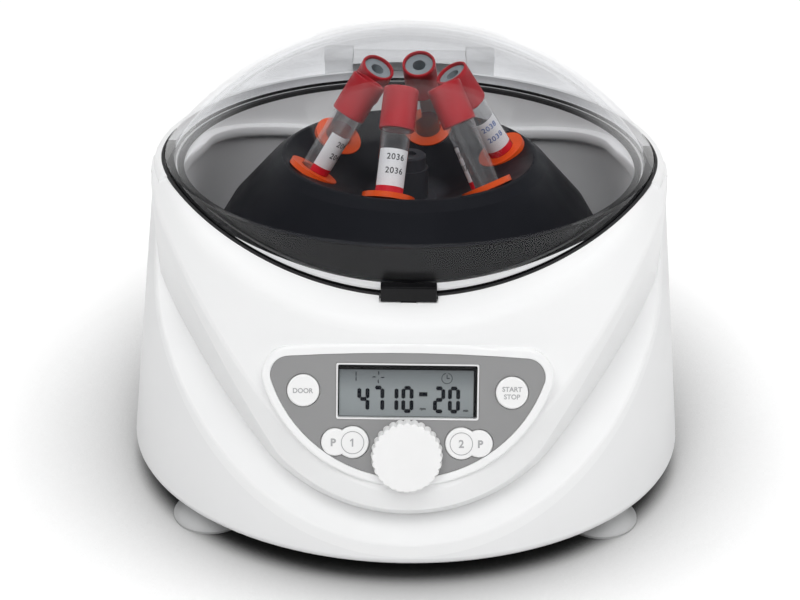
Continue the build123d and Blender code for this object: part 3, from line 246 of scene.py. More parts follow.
def board():
    """Green circuit board with copper tracks showing through its mask."""
    track_scale = 420.0
    material, tree, shader, spot = start_material("circuit_board")
    tracks = tree.nodes.new("ShaderNodeTexBrick")
    feed(tree, tracks.inputs["Color1"], (0.02, 0.11, 0.045))
    feed(tree, tracks.inputs["Color2"], (0.015, 0.09, 0.04))
    feed(tree, tracks.inputs["Mortar"], (0.10, 0.26, 0.09))
    tracks.inputs["Scale"].default_value = 0.8
    tracks.inputs["Mortar Size"].default_value = 0.03
    tree.links.new(stretched(tree, spot, (track_scale, track_scale, track_scale)), tracks.inputs["Vector"])
    feed(tree, shader.inputs["Base Color"], tracks.outputs["Color"])
    feed(tree, shader.inputs["Roughness"], spread(tree, noise(tree, spot, 300.0), cloudy, (0.25, 0.4)))
    relief(tree, shader, tracks.outputs["Fac"], distance=0.00004, strength=0.4)
    return material


def soft_foot():
    """Milky, slightly see-through rubber."""
    material, tree, shader, spot = start_material("foot_rubber")
    cloud = noise(tree, spot, 90.0, detail=4.0)
    feed(tree, shader.inputs["Base Color"], blend(tree, cloud, (0.84, 0.845, 0.85), (0.78, 0.785, 0.79)))
    feed(tree, shader.inputs["Roughness"], spread(tree, cloud, cloudy, (0.25, 0.42)))
    shader.inputs["Alpha"].default_value = 0.6
    relief(tree, shader, noise(tree, spot, 1200.0, detail=2.0), distance=0.00003, strength=0.3)
    return material


plastics = {
    "white_cover": dict(colour=(0.89, 0.893, 0.895), other=(0.87, 0.874, 0.877), rough=0.34, grain=1900.0,
                        depth=0.00003),
    "lower_shell": dict(colour=(0.85, 0.853, 0.857), other=(0.83, 0.834, 0.838), rough=0.4, grain=1600.0,
                        depth=0.00004),
    "black_trim": dict(colour=(0.006, 0.006, 0.0065), other=(0.010, 0.010, 0.011), rough=0.16, grain=900.0,
                       depth=0.00001, patch=40.0, shine=0.14),
    "black_rubber": dict(colour=(0.014, 0.014, 0.015), other=(0.024, 0.024, 0.025), rough=0.58, grain=1400.0,
                         depth=0.00006, patch=60.0),
    "adapter_orange": dict(colour=(0.84, 0.10, 0.012), other=(0.76, 0.08, 0.01), rough=0.36, grain=1500.0,
                           depth=0.00004, patch=70.0),
    "cap_red": dict(colour=(0.46, 0.008, 0.018), other=(0.40, 0.006, 0.014), rough=0.42, grain=1300.0,
                    depth=0.00005, patch=80.0),
    "stopper_grey": dict(colour=(0.28, 0.32, 0.34), other=(0.23, 0.265, 0.285), rough=0.6, grain=1100.0,
                         depth=0.00007, patch=120.0),
    "grey_panel": dict(colour=(0.285, 0.285, 0.287), other=(0.275, 0.275, 0.277), rough=0.45, grain=2600.0,
                       depth=0.00003, patch=30.0),
    "key_white": dict(colour=(0.88, 0.88, 0.88), other=(0.86, 0.86, 0.86), rough=0.4, grain=1700.0,
                      depth=0.00004, patch=90.0),
    "black_plastic": dict(colour=(0.025, 0.025, 0.026), other=(0.04, 0.04, 0.042), rough=0.45, grain=1200.0,
                          depth=0.00006, patch=50.0),
}
clear_parts = {
    "clear_dome": dict(tint=(0.95, 0.953, 0.96), other=(0.938, 0.942, 0.95), rough=0.035, shine=0.008),
    "tube_clear": dict(tint=(0.93, 0.93, 0.935), other=(0.90, 0.905, 0.91), rough=0.05, shine=0.03,
                       film=0.03),
    "display_glass": dict(tint=(0.97, 0.975, 0.975), other=(0.96, 0.965, 0.965), rough=0.03, shine=0.008),
}
turned_parts = {
    "bowl_lining": dict(colour=(0.90, 0.90, 0.90), other=(0.87, 0.87, 0.875), rough=0.34, pitch=260.0),
    # Rotor: much lighter near the spindle, a painted sheen on its dark middle
    "rotor_black": dict(colour=(0.008, 0.0085, 0.012), other=(0.011, 0.012, 0.016), rough=0.46, pitch=420.0,
                        shine=0.2, hub_sheen=(0.055, 0.057, 0.066)),
}
metals = {
    "silver_trim": dict(colour=(0.92, 0.92, 0.925), other=(0.86, 0.86, 0.865), rough=0.42,
                        lines=(40.0, 900.0, 900.0), metallic=0.3),
    "steel": dict(colour=(0.62, 0.62, 0.63), other=(0.50, 0.50, 0.51), rough=0.32,
                  lines=(900.0, 60.0, 900.0)),
}
finishes = {"display_grey": display_face(), "circuit_board": board(), "foot_rubber": soft_foot()}
for make, table in ((moulded, plastics), (see_through, clear_parts), (turned, turned_parts), (metal, metals)):
    for name, looks in table.items():
        finishes[name] = make(name, **looks)

prints = {
    "key_ink": dict(colour=(0.42, 0.42, 0.43), other=(0.37, 0.37, 0.38), rough=0.5, grain=2000.0,
                    depth=0.00002, patch=200.0),
    "digit_ink": dict(colour=(0.004, 0.005, 0.009), other=(0.007, 0.008, 0.013), rough=0.45, grain=2000.0,
                      depth=0.00001, patch=200.0, shine=0.1),
    "symbol_ink": dict(colour=(0.03, 0.033, 0.038), other=(0.02, 0.023, 0.028), rough=0.45, grain=2000.0,
                       depth=0.00001, patch=200.0, shine=0.1),
    # Black of the border behind the display window, partly painted shade
    "frame_shade_black": dict(colour=(0.004, 0.004, 0.005), other=(0.007, 0.007, 0.008), rough=0.45, grain=2000.0,
                     depth=0.00001, patch=90.0, shine=0.1),
    "label_paper": dict(colour=(0.82, 0.82, 0.83), other=(0.78, 0.78, 0.80), rough=0.55, grain=2400.0,
                        depth=0.00003, patch=160.0),
    "label_red": dict(colour=(0.62, 0.012, 0.03), other=(0.56, 0.01, 0.025), rough=0.45, grain=2400.0,
                      depth=0.00002, patch=160.0),
    "label_black": dict(colour=(0.015, 0.015, 0.018), other=(0.03, 0.03, 0.033), rough=0.5, grain=2400.0,
                        depth=0.00001, patch=200.0),
    "label_blue": dict(colour=(0.03, 0.10, 0.36), other=(0.04, 0.12, 0.40), rough=0.5, grain=2400.0,
                       depth=0.00001, patch=200.0),
}
inks = {name: moulded(name, **looks) for name, looks in prints.items()}

tube_count = 6
tube_numbers = range(1, tube_count + 1)
slots = {
    "white_cover": ["top_cover", "lid_hinge_block"],
    "lower_shell": ["side_shell", "base_pan"],
    "clear_dome": ["lid_dome"],
    "black_trim": ["lid_trim", "lid_seal_ring", "latch_tab"],
    "black_rubber": ["chamber_gasket", "rubber_mounts"],
    "bowl_lining": ["chamber_bowl"],
    "rotor_black": ["rotor", "rotor_nut"],
    "adapter_orange": [f"tube_adapter_{number}" for number in tube_numbers],
    "tube_clear": [f"sample_tube_{number}" for number in tube_numbers],
    "cap_red": [f"tube_cap_{number}" for number in tube_numbers],
    "stopper_grey": ["tube_stoppers"],
    "grey_panel": ["panel_overlay"],
    "silver_trim": ["display_bezel"],
    "display_glass": ["display_window"],
    "display_grey": ["display_module"],
    "key_white": ["door_button", "start_stop_button", "program_1_button", "program_2_button", "speed_knob"],
    "circuit_board": ["control_board", "power_board"],
    "steel": ["hinge_pin", "latch_solenoid", "latch_plunger", "board_screws", "base_screws", "foot_screws",
              "motor", "motor_plate", "motor_shaft", "knob_shaft", "encoder"],
    "foot_rubber": ["feet"],
    "black_plastic": ["power_inlet", "power_switch", "switch_rocker"],
}
for slot_name, members in slots.items():
    for member in members:
        mesh = nodes[member].data
        mesh.materials.clear()
        mesh.materials.append(finishes[slot_name])


# Helpers for meshes and pieces

def mesh_of(made, name):
    """Turns a finished bmesh into a mesh."""
    mesh = bpy.data.meshes.new(name)
    made.to_mesh(mesh)
    made.free()
    return mesh


def skin(name, rows, ring=False):
    """Solid through rows of points: a ring runs from its last row to its first, others get end faces."""
    made = bmesh.new()
    lines = [[made.verts.new(point) for point in row] for row in rows]
    following = lines[1:] + lines[:1] if ring else lines[1:]
    for a, b in zip(lines, following):
        for k in range(len(a)):
            after = (k + 1) % len(a)
            made.faces.new((a[k], b[k], b[after], a[after]))
    if not ring:
        made.faces.new(lines[0])
        made.faces.new(list(reversed(lines[-1])))
    bmesh.ops.recalc_face_normals(made, faces=made.faces)
    return mesh_of(made, name)


def turned_row(outline, angle, unit=1.0):
    """An outline of radii and heights, placed at an angle round the axis, counted from the right."""
    c, s = math.cos(angle), math.sin(angle)
    return [(r * c * unit, r * s * unit, z * unit) for r, z in outline]


def arc(centre, radius, first, last, steps):
    """Points on an arc between two angles in degrees."""
    angles = [math.radians(first + (last - first) * i / steps) for i in range(steps + 1)]
    return [(centre[0] + radius * math.cos(a), centre[1] + radius * math.sin(a)) for a in angles]


def smoothed(mesh, angle=32.0):
    """Smooth shading, but crisp where faces meet at more than an angle."""
    mesh.polygons.foreach_set("use_smooth", [True] * len(mesh.polygons))
    mesh.set_sharp_from_angle(angle=math.radians(angle))
    return mesh


def join_meshes(name, placed):
    """One mesh of several, each with the matrix that places it."""
    made = bmesh.new()
    for mesh, matrix in placed:
        part = mesh.copy()
        part.transform(matrix)
        made.from_mesh(part)
        bpy.data.meshes.remove(part)
    return mesh_of(made, name)


def add_piece(name, mesh, body, material, instead=None):
    """An object of its own that rides on a body, and may stand for a CAD node."""
    mesh.materials.clear()
    mesh.materials.append(material)
    piece = bpy.data.objects.new(name, mesh)
    scene.collection.objects.link(piece)
    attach(piece, body)
    if instead:
        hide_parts(instead)


# Smooth turned forms

def saddle(y):
    """Height of the cover's top surface at a place from front to back, in millimetres."""
    level, start, radius = 134.0, -30.0, 174.5
    if y > start:
        return level
    return level - radius + math.sqrt(radius**2 - (start - y) ** 2)


def lathe(name, section, steps):
    """Closed turned solid; section gives its outline in millimetres from the sine of the angle."""
    angles = [math.tau * i / steps for i in range(steps)]
    return smoothed(skin(name, [turned_row(section(math.sin(a)), a, MM) for a in angles], ring=True))


def bowl_section(side):
    """Outline of the chamber bowl, with the rolled bead that dips towards the front and the back."""
    inner, outer, rim, floor_radius = 104.0, 106.5, 128.2, 90.5
    crown, sweep = 130.0, 225.0
    fade_start, fade_length = -12.0, 30.0
    y = inner * side
    top = min(rim, saddle(y) + 3.0)
    bead = min(crown - sweep + math.sqrt(sweep**2 - y**2), top - 0.3)
    proud = min(max((y - fade_start) / fade_length, 0.0), 1.0)
    roll = ((0.0, 0.05), (3.0, 0.0), (4.1, 0.25), (4.8, 0.8), (5.1, 1.7), (5.2, 3.2), (5.1, 4.6), (4.7, 5.5),
            (3.9, 6.1), (2.1, 6.3), (1.6, 7.3))
    bead_points = [(inner - out * proud, bead - down) for out, down in roll]
    corner = (floor_radius, 74.5)
    shaft_hole = [(10.5, 64.5), (10.5, 70.0), (8.0, 70.0), (8.0, 62.0)]
    return ([(inner, top)] + bead_points + [(100.5, 78.0)] + arc(corner, 10.0, 0.0, -90.0, 6) + shaft_hole
            + arc(corner, 12.5, -90.0, 0.0, 6) + [(103.0, 96.0), (outer, 97.0), (outer, top)])


def seal_section(side):
    """Outline of the lid's seal, a skirt that hangs down to the trim all round."""
    inner, outer, top, corner = 107.6, 108.75, 131.5, 0.3
    trim_radius, above_cover, highest_foot = 107.0, 0.7, 130.3
    low = min(saddle(trim_radius * side) + above_cover, highest_foot)
    return [(inner, low), (inner, top - corner), (inner + corner, top), (outer - corner, top),
            (outer, top - corner), (outer, low)]


def dome_section(side):
    """Outline of the clear lid: a spherical cap on an upright wall that stands on the trim."""
    centre = (0.0, 45.2)
    outer, inner = 143.5, 140.5
    wall_outer, wall_inner = 112.0, 109.15
    rear_low, front_low, above_cover = 130.5, 134.5, 0.5
    near_axis, steps = 89.99, 44
    y = wall_outer * side
    low = rear_low if y > 2.0 else min(saddle(y) + above_cover, front_low)
    outer_edge = math.degrees(math.acos(wall_outer / outer))
    inner_edge = math.degrees(math.acos(wall_inner / inner))
    return ([(wall_outer, low)] + arc(centre, outer, outer_edge, near_axis, steps)
            + arc(centre, inner, near_axis, inner_edge, steps) + [(wall_inner, low)])


def hinge_mesh():
    """Lid lug: a web from the dome to a barrel round the hinge pin."""
    half_width, step = 30.0, 2.5
    pin, barrel = (124.0, 137.0), 5.0
    barrel_start, barrel_end = 210.0, 486.9
    low_z, high_z = 134.5, 141.0
    dome_radius, low_rise, high_rise = 143.55, 89.3, 95.8
    rows = []
    for i in range(int(2 * half_width / step) + 1):
        x = -half_width + step * i
        low_y = math.sqrt(dome_radius**2 - low_rise**2 - x**2)
        high_y = math.sqrt(dome_radius**2 - high_rise**2 - x**2)
        outline = [(low_y, low_z)] + arc(pin, barrel, barrel_start, barrel_end, 20)
        outline += [(high_y + 0.5, high_z), (high_y, high_z - 0.4)]
        rows.append([(x * MM, y * MM, z * MM) for y, z in outline])
    return smoothed(skin("hinge", rows))


def arc_strip(name, section, half_turn, steps):
    """Strip round the front; section gives its outline in millimetres at an angle from straight ahead."""
    angles = [half_turn * (2 * i / steps - 1) for i in range(steps + 1)]
    return smoothed(skin(name, [turned_row(section(a), a - math.pi / 2, MM) for a in angles]))


reflection_turn = math.radians(40)
rest_turn = math.radians(100)


def reflection_crescent_section(angle):
    """Painted reflection at the foot of the clear wall on the front of the trim: a bright crescent that
    tapers out at its ends.
    """
    outer, edge, trim_edge, above_cover = 111.95, 0.1, 112.0, 0.55
    swell = 1.0 - (angle / reflection_turn) ** 2
    inner = outer - (2.6 * swell + 0.1)
    rise = 2.2 * swell + 0.08
    low = saddle(-trim_edge * math.cos(angle)) + above_cover
    return [(inner, low), (inner, low + rise), (outer - edge, low + rise * 0.4), (outer - edge, low)]


def bead_and_gap_shade_section(angle):
    """Rubber bead on the cover's edge, just outside the closed lid, partly a painted shadow of the gap
    between lid and cover.
    """
    inner, middle, sunk = 112.5, 113.0, 0.8
    fade = min(1.0, (1.0 - abs(angle) / rest_turn) * 6.0)
    level = saddle(-middle * math.cos(angle))
    wide = 0.3 + 1.0 * fade
    crest = level + 0.2 * fade
    return [(inner, level - sunk), (inner, crest), (inner + wide * 0.7, crest),
            (inner + wide, level + 0.02), (inner + wide, level - sunk)]


# White crescent, a painted reflection on the foot of the clear wall
add_piece("clear_wall_reflection", arc_strip("foot", reflection_crescent_section, reflection_turn, steps=60), "lid",
          finishes["key_white"])
# Black bead: partly rubber, partly painted shadow of the gap under the lid's edge
add_piece("cover_bead_and_gap_shade", arc_strip("bead", bead_and_gap_shade_section, rest_turn, steps=160), "base",
          finishes["black_rubber"])
add_piece("chamber_bowl_lined", lathe("bowl", bowl_section, steps=240), "base", finishes["bowl_lining"],
          "chamber_bowl")
add_piece("lid_seal_smooth", lathe("seal", seal_section, steps=240), "lid", finishes["black_trim"],
          "lid_seal_ring")
add_piece("lid_dome_polished", lathe("dome", dome_section, steps=288), "lid", finishes["clear_dome"],
          "lid_dome")
add_piece("lid_hinge_lug", hinge_mesh(), "lid", finishes["white_cover"], "lid_hinge_block")


# Lettering on the keys

lean = math.radians(22)
to_metres = Matrix.Diagonal((MM, MM, MM, 1))
# Panel axes in millimetres: U to the right, V up the slope and N out of the panel
panel_frame = Matrix((
    (1, 0, 0, 0),
    (0, math.sin(lean), -math.cos(lean), -121),
    (0, math.cos(lean), math.sin(lean), 114.5),
    (0, 0, 0, 1),
))


def on_face(u, v, out, turn=0.0):
    """Matrix that stands a flat mesh on the panel, turned by an angle in degrees."""
    return (to_metres @ panel_frame @ Matrix.Translation((u, v, out))
            @ Matrix.Rotation(math.radians(turn), 4, "Z"))


def extent(mesh, axis):
    """Least and greatest coordinate of a mesh along one axis."""
    values = [point.co[axis] for point in mesh.vertices]
    return min(values), max(values)


def fit_words(words, height, thick, bold=0.0, spacing=1.0):
    """Raised lettering of a given height round the origin, in millimetres, facing +Z."""
    curve = bpy.data.curves.new("words", "FONT")
    curve.body = words
    curve.size = height
    curve.extrude = thick / 2
    curve.offset = bold
    curve.align_x = "CENTER"
    curve.align_y = "CENTER"
    curve.space_character = spacing
    holder = bpy.data.objects.new("words", curve)
    scene.collection.objects.link(holder)
    bpy.context.view_layer.update()
    mesh = bpy.data.meshes.new_from_object(holder.evaluated_get(bpy.context.evaluated_depsgraph_get()))
    bpy.data.objects.remove(holder)
    bpy.data.curves.remove(curve)
    left, right = extent(mesh, 0)
    low, high = extent(mesh, 1)
    grow = height / (high - low)
    mesh.transform(Matrix.Translation((-(left + right) / 2, -(low + high) / 2, 0)))
    mesh.transform(Matrix.Diagonal((grow, grow, 1, 1)))
    return mesh


def plate(outline, thick):
    """Flat plate of the given outline, standing on Z = 0."""
    made = bmesh.new()
    low = [made.verts.new((x, y, 0)) for x, y in outline]
    top = [made.verts.new((x, y, thick)) for x, y in outline]
    made.faces.new(list(reversed(low)))
    made.faces.new(top)
    count = len(outline)
    for i in range(count):
        made.faces.new((low[i], low[(i + 1) % count], top[(i + 1) % count], top[i]))
    return mesh_of(made, "plate")


def bar_section(inner, outer, low, high):
    """Four corners of a flat bar, as radii and heights."""
    return [(inner, low), (outer, low), (outer, high), (inner, high)]


def ring_plate(outer, inner, thick, start=0.0, end=360.0, steps=64):
    """Flat ring, or part of one, standing on Z = 0."""
    closed = end - start >= 360
    count = steps if closed else steps + 1
    angles = [math.radians(start + (end - start) * i / steps) for i in range(count)]
    return skin("ring", [turned_row(bar_section(inner, outer, 0, thick), a) for a in angles], closed)


print_lift = 0.02
print_thick = 0.06
key_front = 2.4
key_print = key_front + print_lift

main_u, main_v = 41.2, -35.7
word_height, word_bold, line_shift = 2.0, 0.05, 1.5
program_u, program_v, lobe_out = 21.5, -56.2, 7.6
figure_height, figure_bold = 3.2, 0.08
letter_height, letter_bold = 3.1, 0.12
ring_outer, ring_inner = 4.6, 4.3
figure_one = [(-0.3, -1.6), (0.3, -1.6), (0.3, 1.6), (-0.12, 1.6), (-0.95, 0.95), (-0.95, 0.42), (-0.3, 0.85)]


def key_word(words, u, v):
    """A word on a round key, with the matrix that places it."""
    return fit_words(words, word_height, print_thick, word_bold), on_face(u, v, key_print)


door_words = join_meshes("door_button_lettering", [key_word("DOOR", -main_u, main_v)])
add_piece("door_button_lettering", door_words, "door_button", inks["key_ink"])

start_words = join_meshes("start_stop_lettering", [
    key_word("START", main_u, main_v + line_shift),
    key_word("STOP", main_u, main_v - line_shift)])
add_piece("start_stop_lettering", start_words, "start_stop_button", inks["key_ink"])

for number, side in ((1, -1), (2, 1)):
    if number == 1:
        figure = plate(figure_one, print_thick)
    else:
        figure = fit_words("2", figure_height, print_thick, figure_bold)
    letter = fit_words("P", letter_height, print_thick, letter_bold)
    ring = ring_plate(ring_outer, ring_inner, print_thick)
    key_centre = on_face(side * program_u, program_v, key_print)
    lobe_centre = on_face(side * (program_u + lobe_out), program_v, key_print)
    marks = join_meshes(f"program_{number}_lettering", [
        (figure, key_centre), (letter, lobe_centre), (ring, key_centre)])
    add_piece(f"program_{number}_lettering", marks, f"program_{number}_button", inks["key_ink"])


# Display segments and symbols

glass_front = -1.95
segment_lift = 0.02
segment_thick = 0.05
digit_bottom, digit_height, digit_width, digit_bar = -44.8, 10.8, 4.8, 1.55
lit = {"0": "abcdef", "1": "bc", "2": "abdeg", "4": "bcfg", "7": "abc"}


def on_glass(u=0.0, v=0.0, turn=0.0):
    """Matrix that stands a flat mesh just behind the display window."""
    return on_face(u, v, glass_front + segment_lift, turn)


def segment(x0, y0, x1, y1, wide):
    """One bar of a digit, pointed at both ends."""
    a, b = Vector((x0, y0)), Vector((x1, y1))
    along = (b - a).normalized()
    across = Vector((-along.y, along.x)) * wide / 2
    nose = along * wide * 0.3
    corners = (a, a + nose - across, b - nose - across, b, b - nose + across, a + nose + across)
    return plate([tuple(corner) for corner in corners], segment_thick)


def block(x0, x1, y0, y1):
    """Plain rectangle of the display."""
    return plate([(x0, y0), (x1, y0), (x1, y1), (x0, y1)], segment_thick)


def digit(symbol, left):
    """Seven-bar figure as a list of plates."""
    gap = digit_bar * 0.16
    half = digit_bar / 2
    x0, x1 = left + half, left + digit_width - half
    y0, y1, y2 = digit_bottom + half, digit_bottom + digit_height / 2, digit_bottom + digit_height - half
    ends = {
        "a": (x0 + gap, y2, x1 - gap, y2),
        "b": (x1, y1 + gap, x1, y2 - gap),
        "c": (x1, y0 + gap, x1, y1 - gap),
        "d": (x0 + gap, y0, x1 - gap, y0),
        "e": (x0, y0 + gap, x0, y1 - gap),
        "f": (x0, y1 + gap, x0, y2 - gap),
        "g": (x0 + gap, y1, x1 - gap, y1),
    }
    return [segment(*ends[name], digit_bar) for name in lit[symbol]]


digits = []
for symbol, left in (("4", -19.9), ("7", -14.0), ("1", -8.4), ("0", -2.4), ("2", 10.2), ("0", 16.1)):
    digits += digit(symbol, left)
digits.append(block(4.6, 7.9, -38.1, -36.4))
figures = join_meshes("display_digits", [(plain, on_glass()) for plain in digits])
add_piece("display_digits", figures, "base", inks["digit_ink"])

# Black border just behind the window, widest at the top and right: partly the frame's dark inner wall, partly
# painted shade from the frame
mask_left, mask_right, mask_low, mask_top = -27.5, 27.5, -46.3, -25.4
inner_left, inner_right, inner_low, inner_top = -27.15, 26.2, -46.2, -27.6
mask = [
    block(mask_left, mask_right, inner_top, mask_top),
    block(inner_right, mask_right, mask_low, inner_top),
    block(mask_left, inner_left, mask_low, inner_top),
    block(inner_left, inner_right, mask_low, inner_low),
]
shade = join_meshes("display_frame_shade", [(plain, on_glass()) for plain in mask])
add_piece("display_frame_shade", shade, "base", inks["frame_shade_black"])

fan_centre = (-11.6, -30.6)
dial_centre = (15.6, -30.8)
mark_u, mark_rows, mark_length = -20.5, (-32.2, -30.3), 1.7
unit_bold = 0.04
blade = plate([(0.7, 0.0), (1.5, -0.35), (2.4, -0.15), (2.4, 0.2), (1.4, 0.1)], segment_thick)
symbols = [(segment(mark_u, low, mark_u, low + mark_length, 0.4), on_glass()) for low in mark_rows]
symbols += [(blade, on_glass(*fan_centre, turn)) for turn in (0, 90, 180, 270)]
dial = ring_plate(2.2, 1.95, segment_thick, start=100, end=440)
hands = [segment(0, -0.15, 0, 1.5, 0.3), segment(0, 0, 1.2, 0, 0.3)]
symbols += [(plain, on_glass(*dial_centre)) for plain in [dial] + hands]
symbols.append((fit_words("rpm", 1.1, segment_thick, unit_bold), on_glass(6.1, -43.3)))
symbols.append((fit_words("min", 1.0, segment_thick, unit_bold), on_glass(23.2, -43.6)))
add_piece("display_symbols", join_meshes("display_symbols", symbols), "base", inks["symbol_ink"])


# Tube labels

tube_first_angle = -11.5
tube_tilt = math.radians(33)
seat_radius, seat_z = 47.0, 125.2
label_radius, label_thick = 6.55, 0.12
paper_low, paper_high, band_low = 6.0, 22.5, 2.7
label_text = {"height": 2.7, "levels": (18.9, 12.8), "turn": 8, "bold": 0.03, "spacing": 1.12}


def tube_matrix(number):
    """Axis frame of a tube: Z up along it, X sideways and Y facing the spindle, in millimetres."""
    angle = math.radians(tube_first_angle + (number - 1) * 360 / tube_count)
    out = Vector((math.sin(angle), -math.cos(angle), 0))
    axis = Vector((0, 0, math.cos(tube_tilt))) - out * math.sin(tube_tilt)
    side = Vector((math.cos(angle), math.sin(angle), 0))
    face = axis.cross(side)
    seat = out * seat_radius + Vector((0, 0, seat_z))
    return Matrix((
        (side.x, face.x, axis.x, seat.x),
        (side.y, face.y, axis.y, seat.y),
        (side.z, face.z, axis.z, seat.z),
        (0, 0, 0, 1),
    ))


def wrapped_sheet(low, high, middle, span, steps=36):
    """Curved sheet round a tube from one height to another; middle is where it faces, in degrees."""
    outline = bar_section(label_radius, label_radius + label_thick, low, high)
    angles = [math.radians(middle - span / 2 + span * i / steps) for i in range(steps + 1)]
    return skin("sheet", [turned_row(outline, a) for a in angles])


def wrapped_words(words, level, middle):
    """Lettering laid round a tube's label, reading left to right from outside."""
    radius = label_radius + label_thick + print_lift
    mesh = fit_words(words, label_text["height"], print_thick, label_text["bold"], label_text["spacing"])
    for point in mesh.vertices:
        angle = math.radians(middle) + point.co.x / radius
        r = radius + point.co.z
        point.co = Vector((r * math.cos(angle), r * math.sin(angle), level + point.co.y))
    return mesh


# Tube, middle and width of its label in degrees round it, the number printed and its ink
labels = (
    (1, -77.0, 130.0, "2036", "label_black"),
    (2, 140.0, 70.0, "2037", "label_black"),
    (3, 175.0, 130.0, "2038", "label_blue"),
    (4, 240.0, 130.0, "2039", "label_blue"),
    (5, -138.0, 130.0, "2040", "label_black"),
    (6, 25.0, 130.0, "2041", "label_black"),
)
for number, facing, span, words, ink in labels:
    place = to_metres @ tube_matrix(number)
    name = f"tube_label_{number}"
    sheet = join_meshes(name, [(wrapped_sheet(paper_low, paper_high, facing, span), place)])
    add_piece(name, smoothed(sheet), "rotor", inks["label_paper"])
    band = join_meshes(name + "_band", [(wrapped_sheet(band_low, paper_low, facing, span), place)])
    add_piece(name + "_band", smoothed(band), "rotor", inks["label_red"])
    text = join_meshes(name + "_print", [
        (wrapped_words(words, level, facing + label_text["turn"]), place) for level in label_text["levels"]])
    add_piece(name + "_print", text, "rotor", inks[ink])


# Ribbed tube caps

cap_low, cap_top = 32.0, 50.5
cap_radius, cap_bore = 7.8, 6.6
rib_count, rib_depth = 48, 0.26
rib_low, rib_top = cap_low + 1.6, cap_top - 3.0


def cap_mesh():
    """Cap along the tube's axis, with fine ribs round its grip and a plain rounded rim at each end."""
    foot = [(cap_bore, cap_low), (cap_radius - 0.2, cap_low), (cap_radius, cap_low + 0.3),
            (cap_radius, cap_low + 1.2)]
    rim = [(cap_radius, cap_top - 2.6), (cap_radius, cap_top - 0.6), (cap_radius - 0.15, cap_top - 0.2),
           (cap_radius - 0.45, cap_top), (cap_bore + 0.3, cap_top), (cap_bore, cap_top - 0.3)]
    rows = []
    for i in range(rib_count * 2):
        grip = cap_radius - rib_depth * (i % 2)
        outline = foot + [(grip, rib_low), (grip, rib_top)] + rim
        rows.append(turned_row(outline, math.tau * i / (rib_count * 2)))
    return skin("cap", rows, ring=True)


for number in tube_numbers:
    ribbed_cap = join_meshes(f"cap_{number}", [(cap_mesh(), to_metres @ tube_matrix(number))])
    add_piece(f"ribbed_cap_{number}", smoothed(ribbed_cap, 40.0), "rotor", finishes["cap_red"],
              f"tube_cap_{number}")


# Floor, light and camera

def floor_material():
    """Pale floor that reads white to the camera and keeps the shadow; near the object occlusion darkens its
    colour and its glow, a painted shadow, and the glow rises away from the origin.
    """
    shadow_reach = 0.14
    shadow_span = (0.28, 0.96)
    glow_span, glow_levels = (0.45, 2.4), (0.2, 0.8)
    material, tree, shader, spot = start_material("studio_floor")
    tree.nodes.remove(shader)
    # Painted shadow: the floor's colour and glow darken where the object closes it in
    corner = tree.nodes.new("ShaderNodeAmbientOcclusion")
    corner.samples = 16
    corner.inputs["Distance"].default_value = shadow_reach
    clearing = spread(tree, corner.outputs["AO"], shadow_span, whole)
    matt = tree.nodes.new("ShaderNodeBsdfDiffuse")
    feed(tree, matt.inputs["Color"], blend(tree, clearing, (0.03, 0.03, 0.03), (0.97, 0.97, 0.97)))
    rays = tree.nodes.new("ShaderNodeLightPath")
    seen = reckon(tree, "MAXIMUM", rays.outputs["Is Camera Ray"], rays.outputs["Is Glossy Ray"])
    seen = reckon(tree, "MAXIMUM", seen, rays.outputs["Is Transmission Ray"])
    away = spread(tree, from_origin(tree, spot), glow_span, glow_levels)
    level = reckon(tree, "MULTIPLY", away, clearing)
    glow = tree.nodes.new("ShaderNodeEmission")
    feed(tree, glow.inputs["Color"], white)
    feed(tree, glow.inputs["Strength"], reckon(tree, "MULTIPLY", seen, level))
    both = tree.nodes.new("ShaderNodeAddShader")
    tree.links.new(matt.outputs["BSDF"], both.inputs[0])
    tree.links.new(glow.outputs["Emission"], both.inputs[1])
    feed(tree, tree.nodes["Material Output"].inputs["Surface"], both.outputs["Shader"])
    return material


reach = 14.0
floor_corners = [(-reach, -reach, 0), (reach, -reach, 0), (reach, reach, 0), (-reach, reach, 0)]
floor_mesh = bpy.data.meshes.new("studio_floor")
floor_mesh.from_pydata(floor_corners, [], [(0, 1, 2, 3)])
floor_mesh.materials.append(floor_material())
floor = bpy.data.objects.new("studio_floor", floor_mesh)
scene.collection.objects.link(floor)

world = bpy.data.worlds.new("studio")
scene.world = world
world.use_nodes = True
sky = world.node_tree
heading = sky.nodes.new("ShaderNodeTexCoord")
split = sky.nodes.new("ShaderNodeSeparateXYZ")
sky.links.new(heading.outputs["Generated"], split.inputs["Vector"])
height = split.outputs["Z"]
rays = sky.nodes.new("ShaderNodeLightPath")
gloss_level = spread(sky, height, (0.1, 0.5), (1.0, 0.08), "SMOOTHSTEP")
fill_level = spread(sky, height, (0.0, 0.9), (0.07, 0.52))
unseen = blend(sky, rays.outputs["Is Diffuse Ray"], gloss_level, fill_level, "FLOAT")
backdrop = sky.nodes["Background"]
feed(sky, backdrop.inputs["Color"], white)
feed(sky, backdrop.inputs["Strength"], blend(sky, rays.outputs["Is Camera Ray"], unseen, 1.0, "FLOAT"))


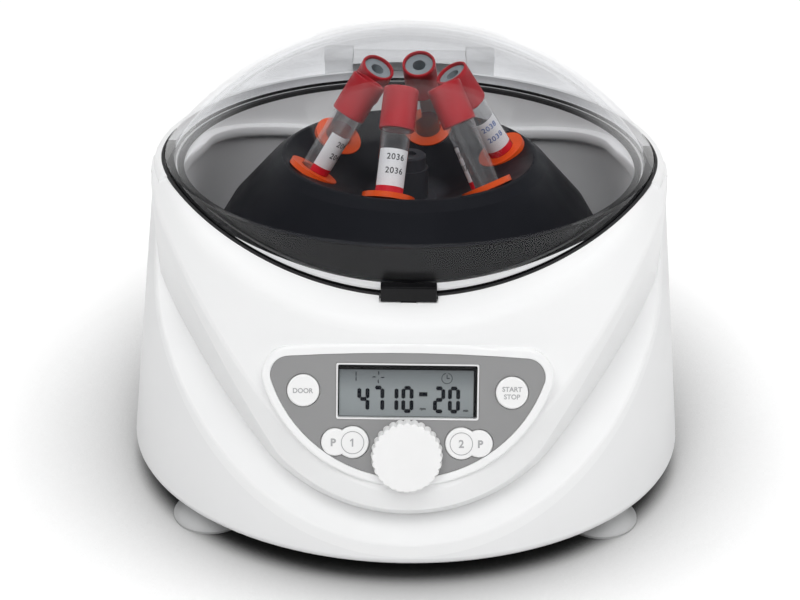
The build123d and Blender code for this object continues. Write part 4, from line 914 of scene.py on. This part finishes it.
def soft_light(name, place, aim, size, power, mirrored):
    """Rectangular soft box turned towards a point; mirrored says whether gloss shows it."""
    data = bpy.data.lights.new(name, "AREA")
    data.shape = "RECTANGLE"
    data.size, data.size_y = size
    data.energy = power
    lamp = bpy.data.objects.new(name, data)
    lamp.location = place
    lamp.rotation_mode = "QUATERNION"
    lamp.rotation_quaternion = (Vector(aim) - Vector(place)).to_track_quat("-Z", "Y")
    lamp.visible_glossy = mirrored
    scene.collection.objects.link(lamp)


soft_light("key_box", place=(-0.1, -1.0, 1.35), aim=(0, 0, 0.1), size=(1.2, 0.9), power=14.4, mirrored=False)
soft_light("top_box", place=(0.0, 0.47, 1.6), aim=(0, 0.1, 0.1), size=(1.7, 0.8), power=6.0, mirrored=True)
soft_light("left_box", place=(-1.5, -0.5, 0.9), aim=(0, 0, 0.08), size=(0.9, 1.0), power=0.2, mirrored=False)
soft_light("right_box", place=(1.5, -0.5, 0.9), aim=(0, 0, 0.08), size=(0.9, 1.0), power=3.6, mirrored=False)

pitch = math.radians(26.932)
yaw = math.radians(0.031)
roll = math.radians(0.691)
forward = Vector((-math.sin(yaw) * math.cos(pitch), math.cos(yaw) * math.cos(pitch), -math.sin(pitch)))
level_right = Vector((math.cos(yaw), math.sin(yaw), 0))
level_up = level_right.cross(forward)
right = level_right * math.cos(roll) + level_up * math.sin(roll)
up = level_up * math.cos(roll) - level_right * math.sin(roll)
eye = Vector((-0.003171, -0.611951, 0.364356))
camera_data = bpy.data.cameras.new("camera")
camera_data.sensor_width = 36
camera_data.lens = 63
camera_data.clip_start = 0.02
camera_data.clip_end = 60
camera = bpy.data.objects.new("camera", camera_data)
camera.matrix_world = Matrix((
    (right.x, up.x, -forward.x, eye.x),
    (right.y, up.y, -forward.y, eye.y),
    (right.z, up.z, -forward.z, eye.z),
    (0, 0, 0, 1),
))
scene.collection.objects.link(camera)
scene.camera = camera

scene.view_settings.view_transform = "Standard"
scene.cycles.transparent_max_bounces = 40
scene.cycles.max_bounces = 14
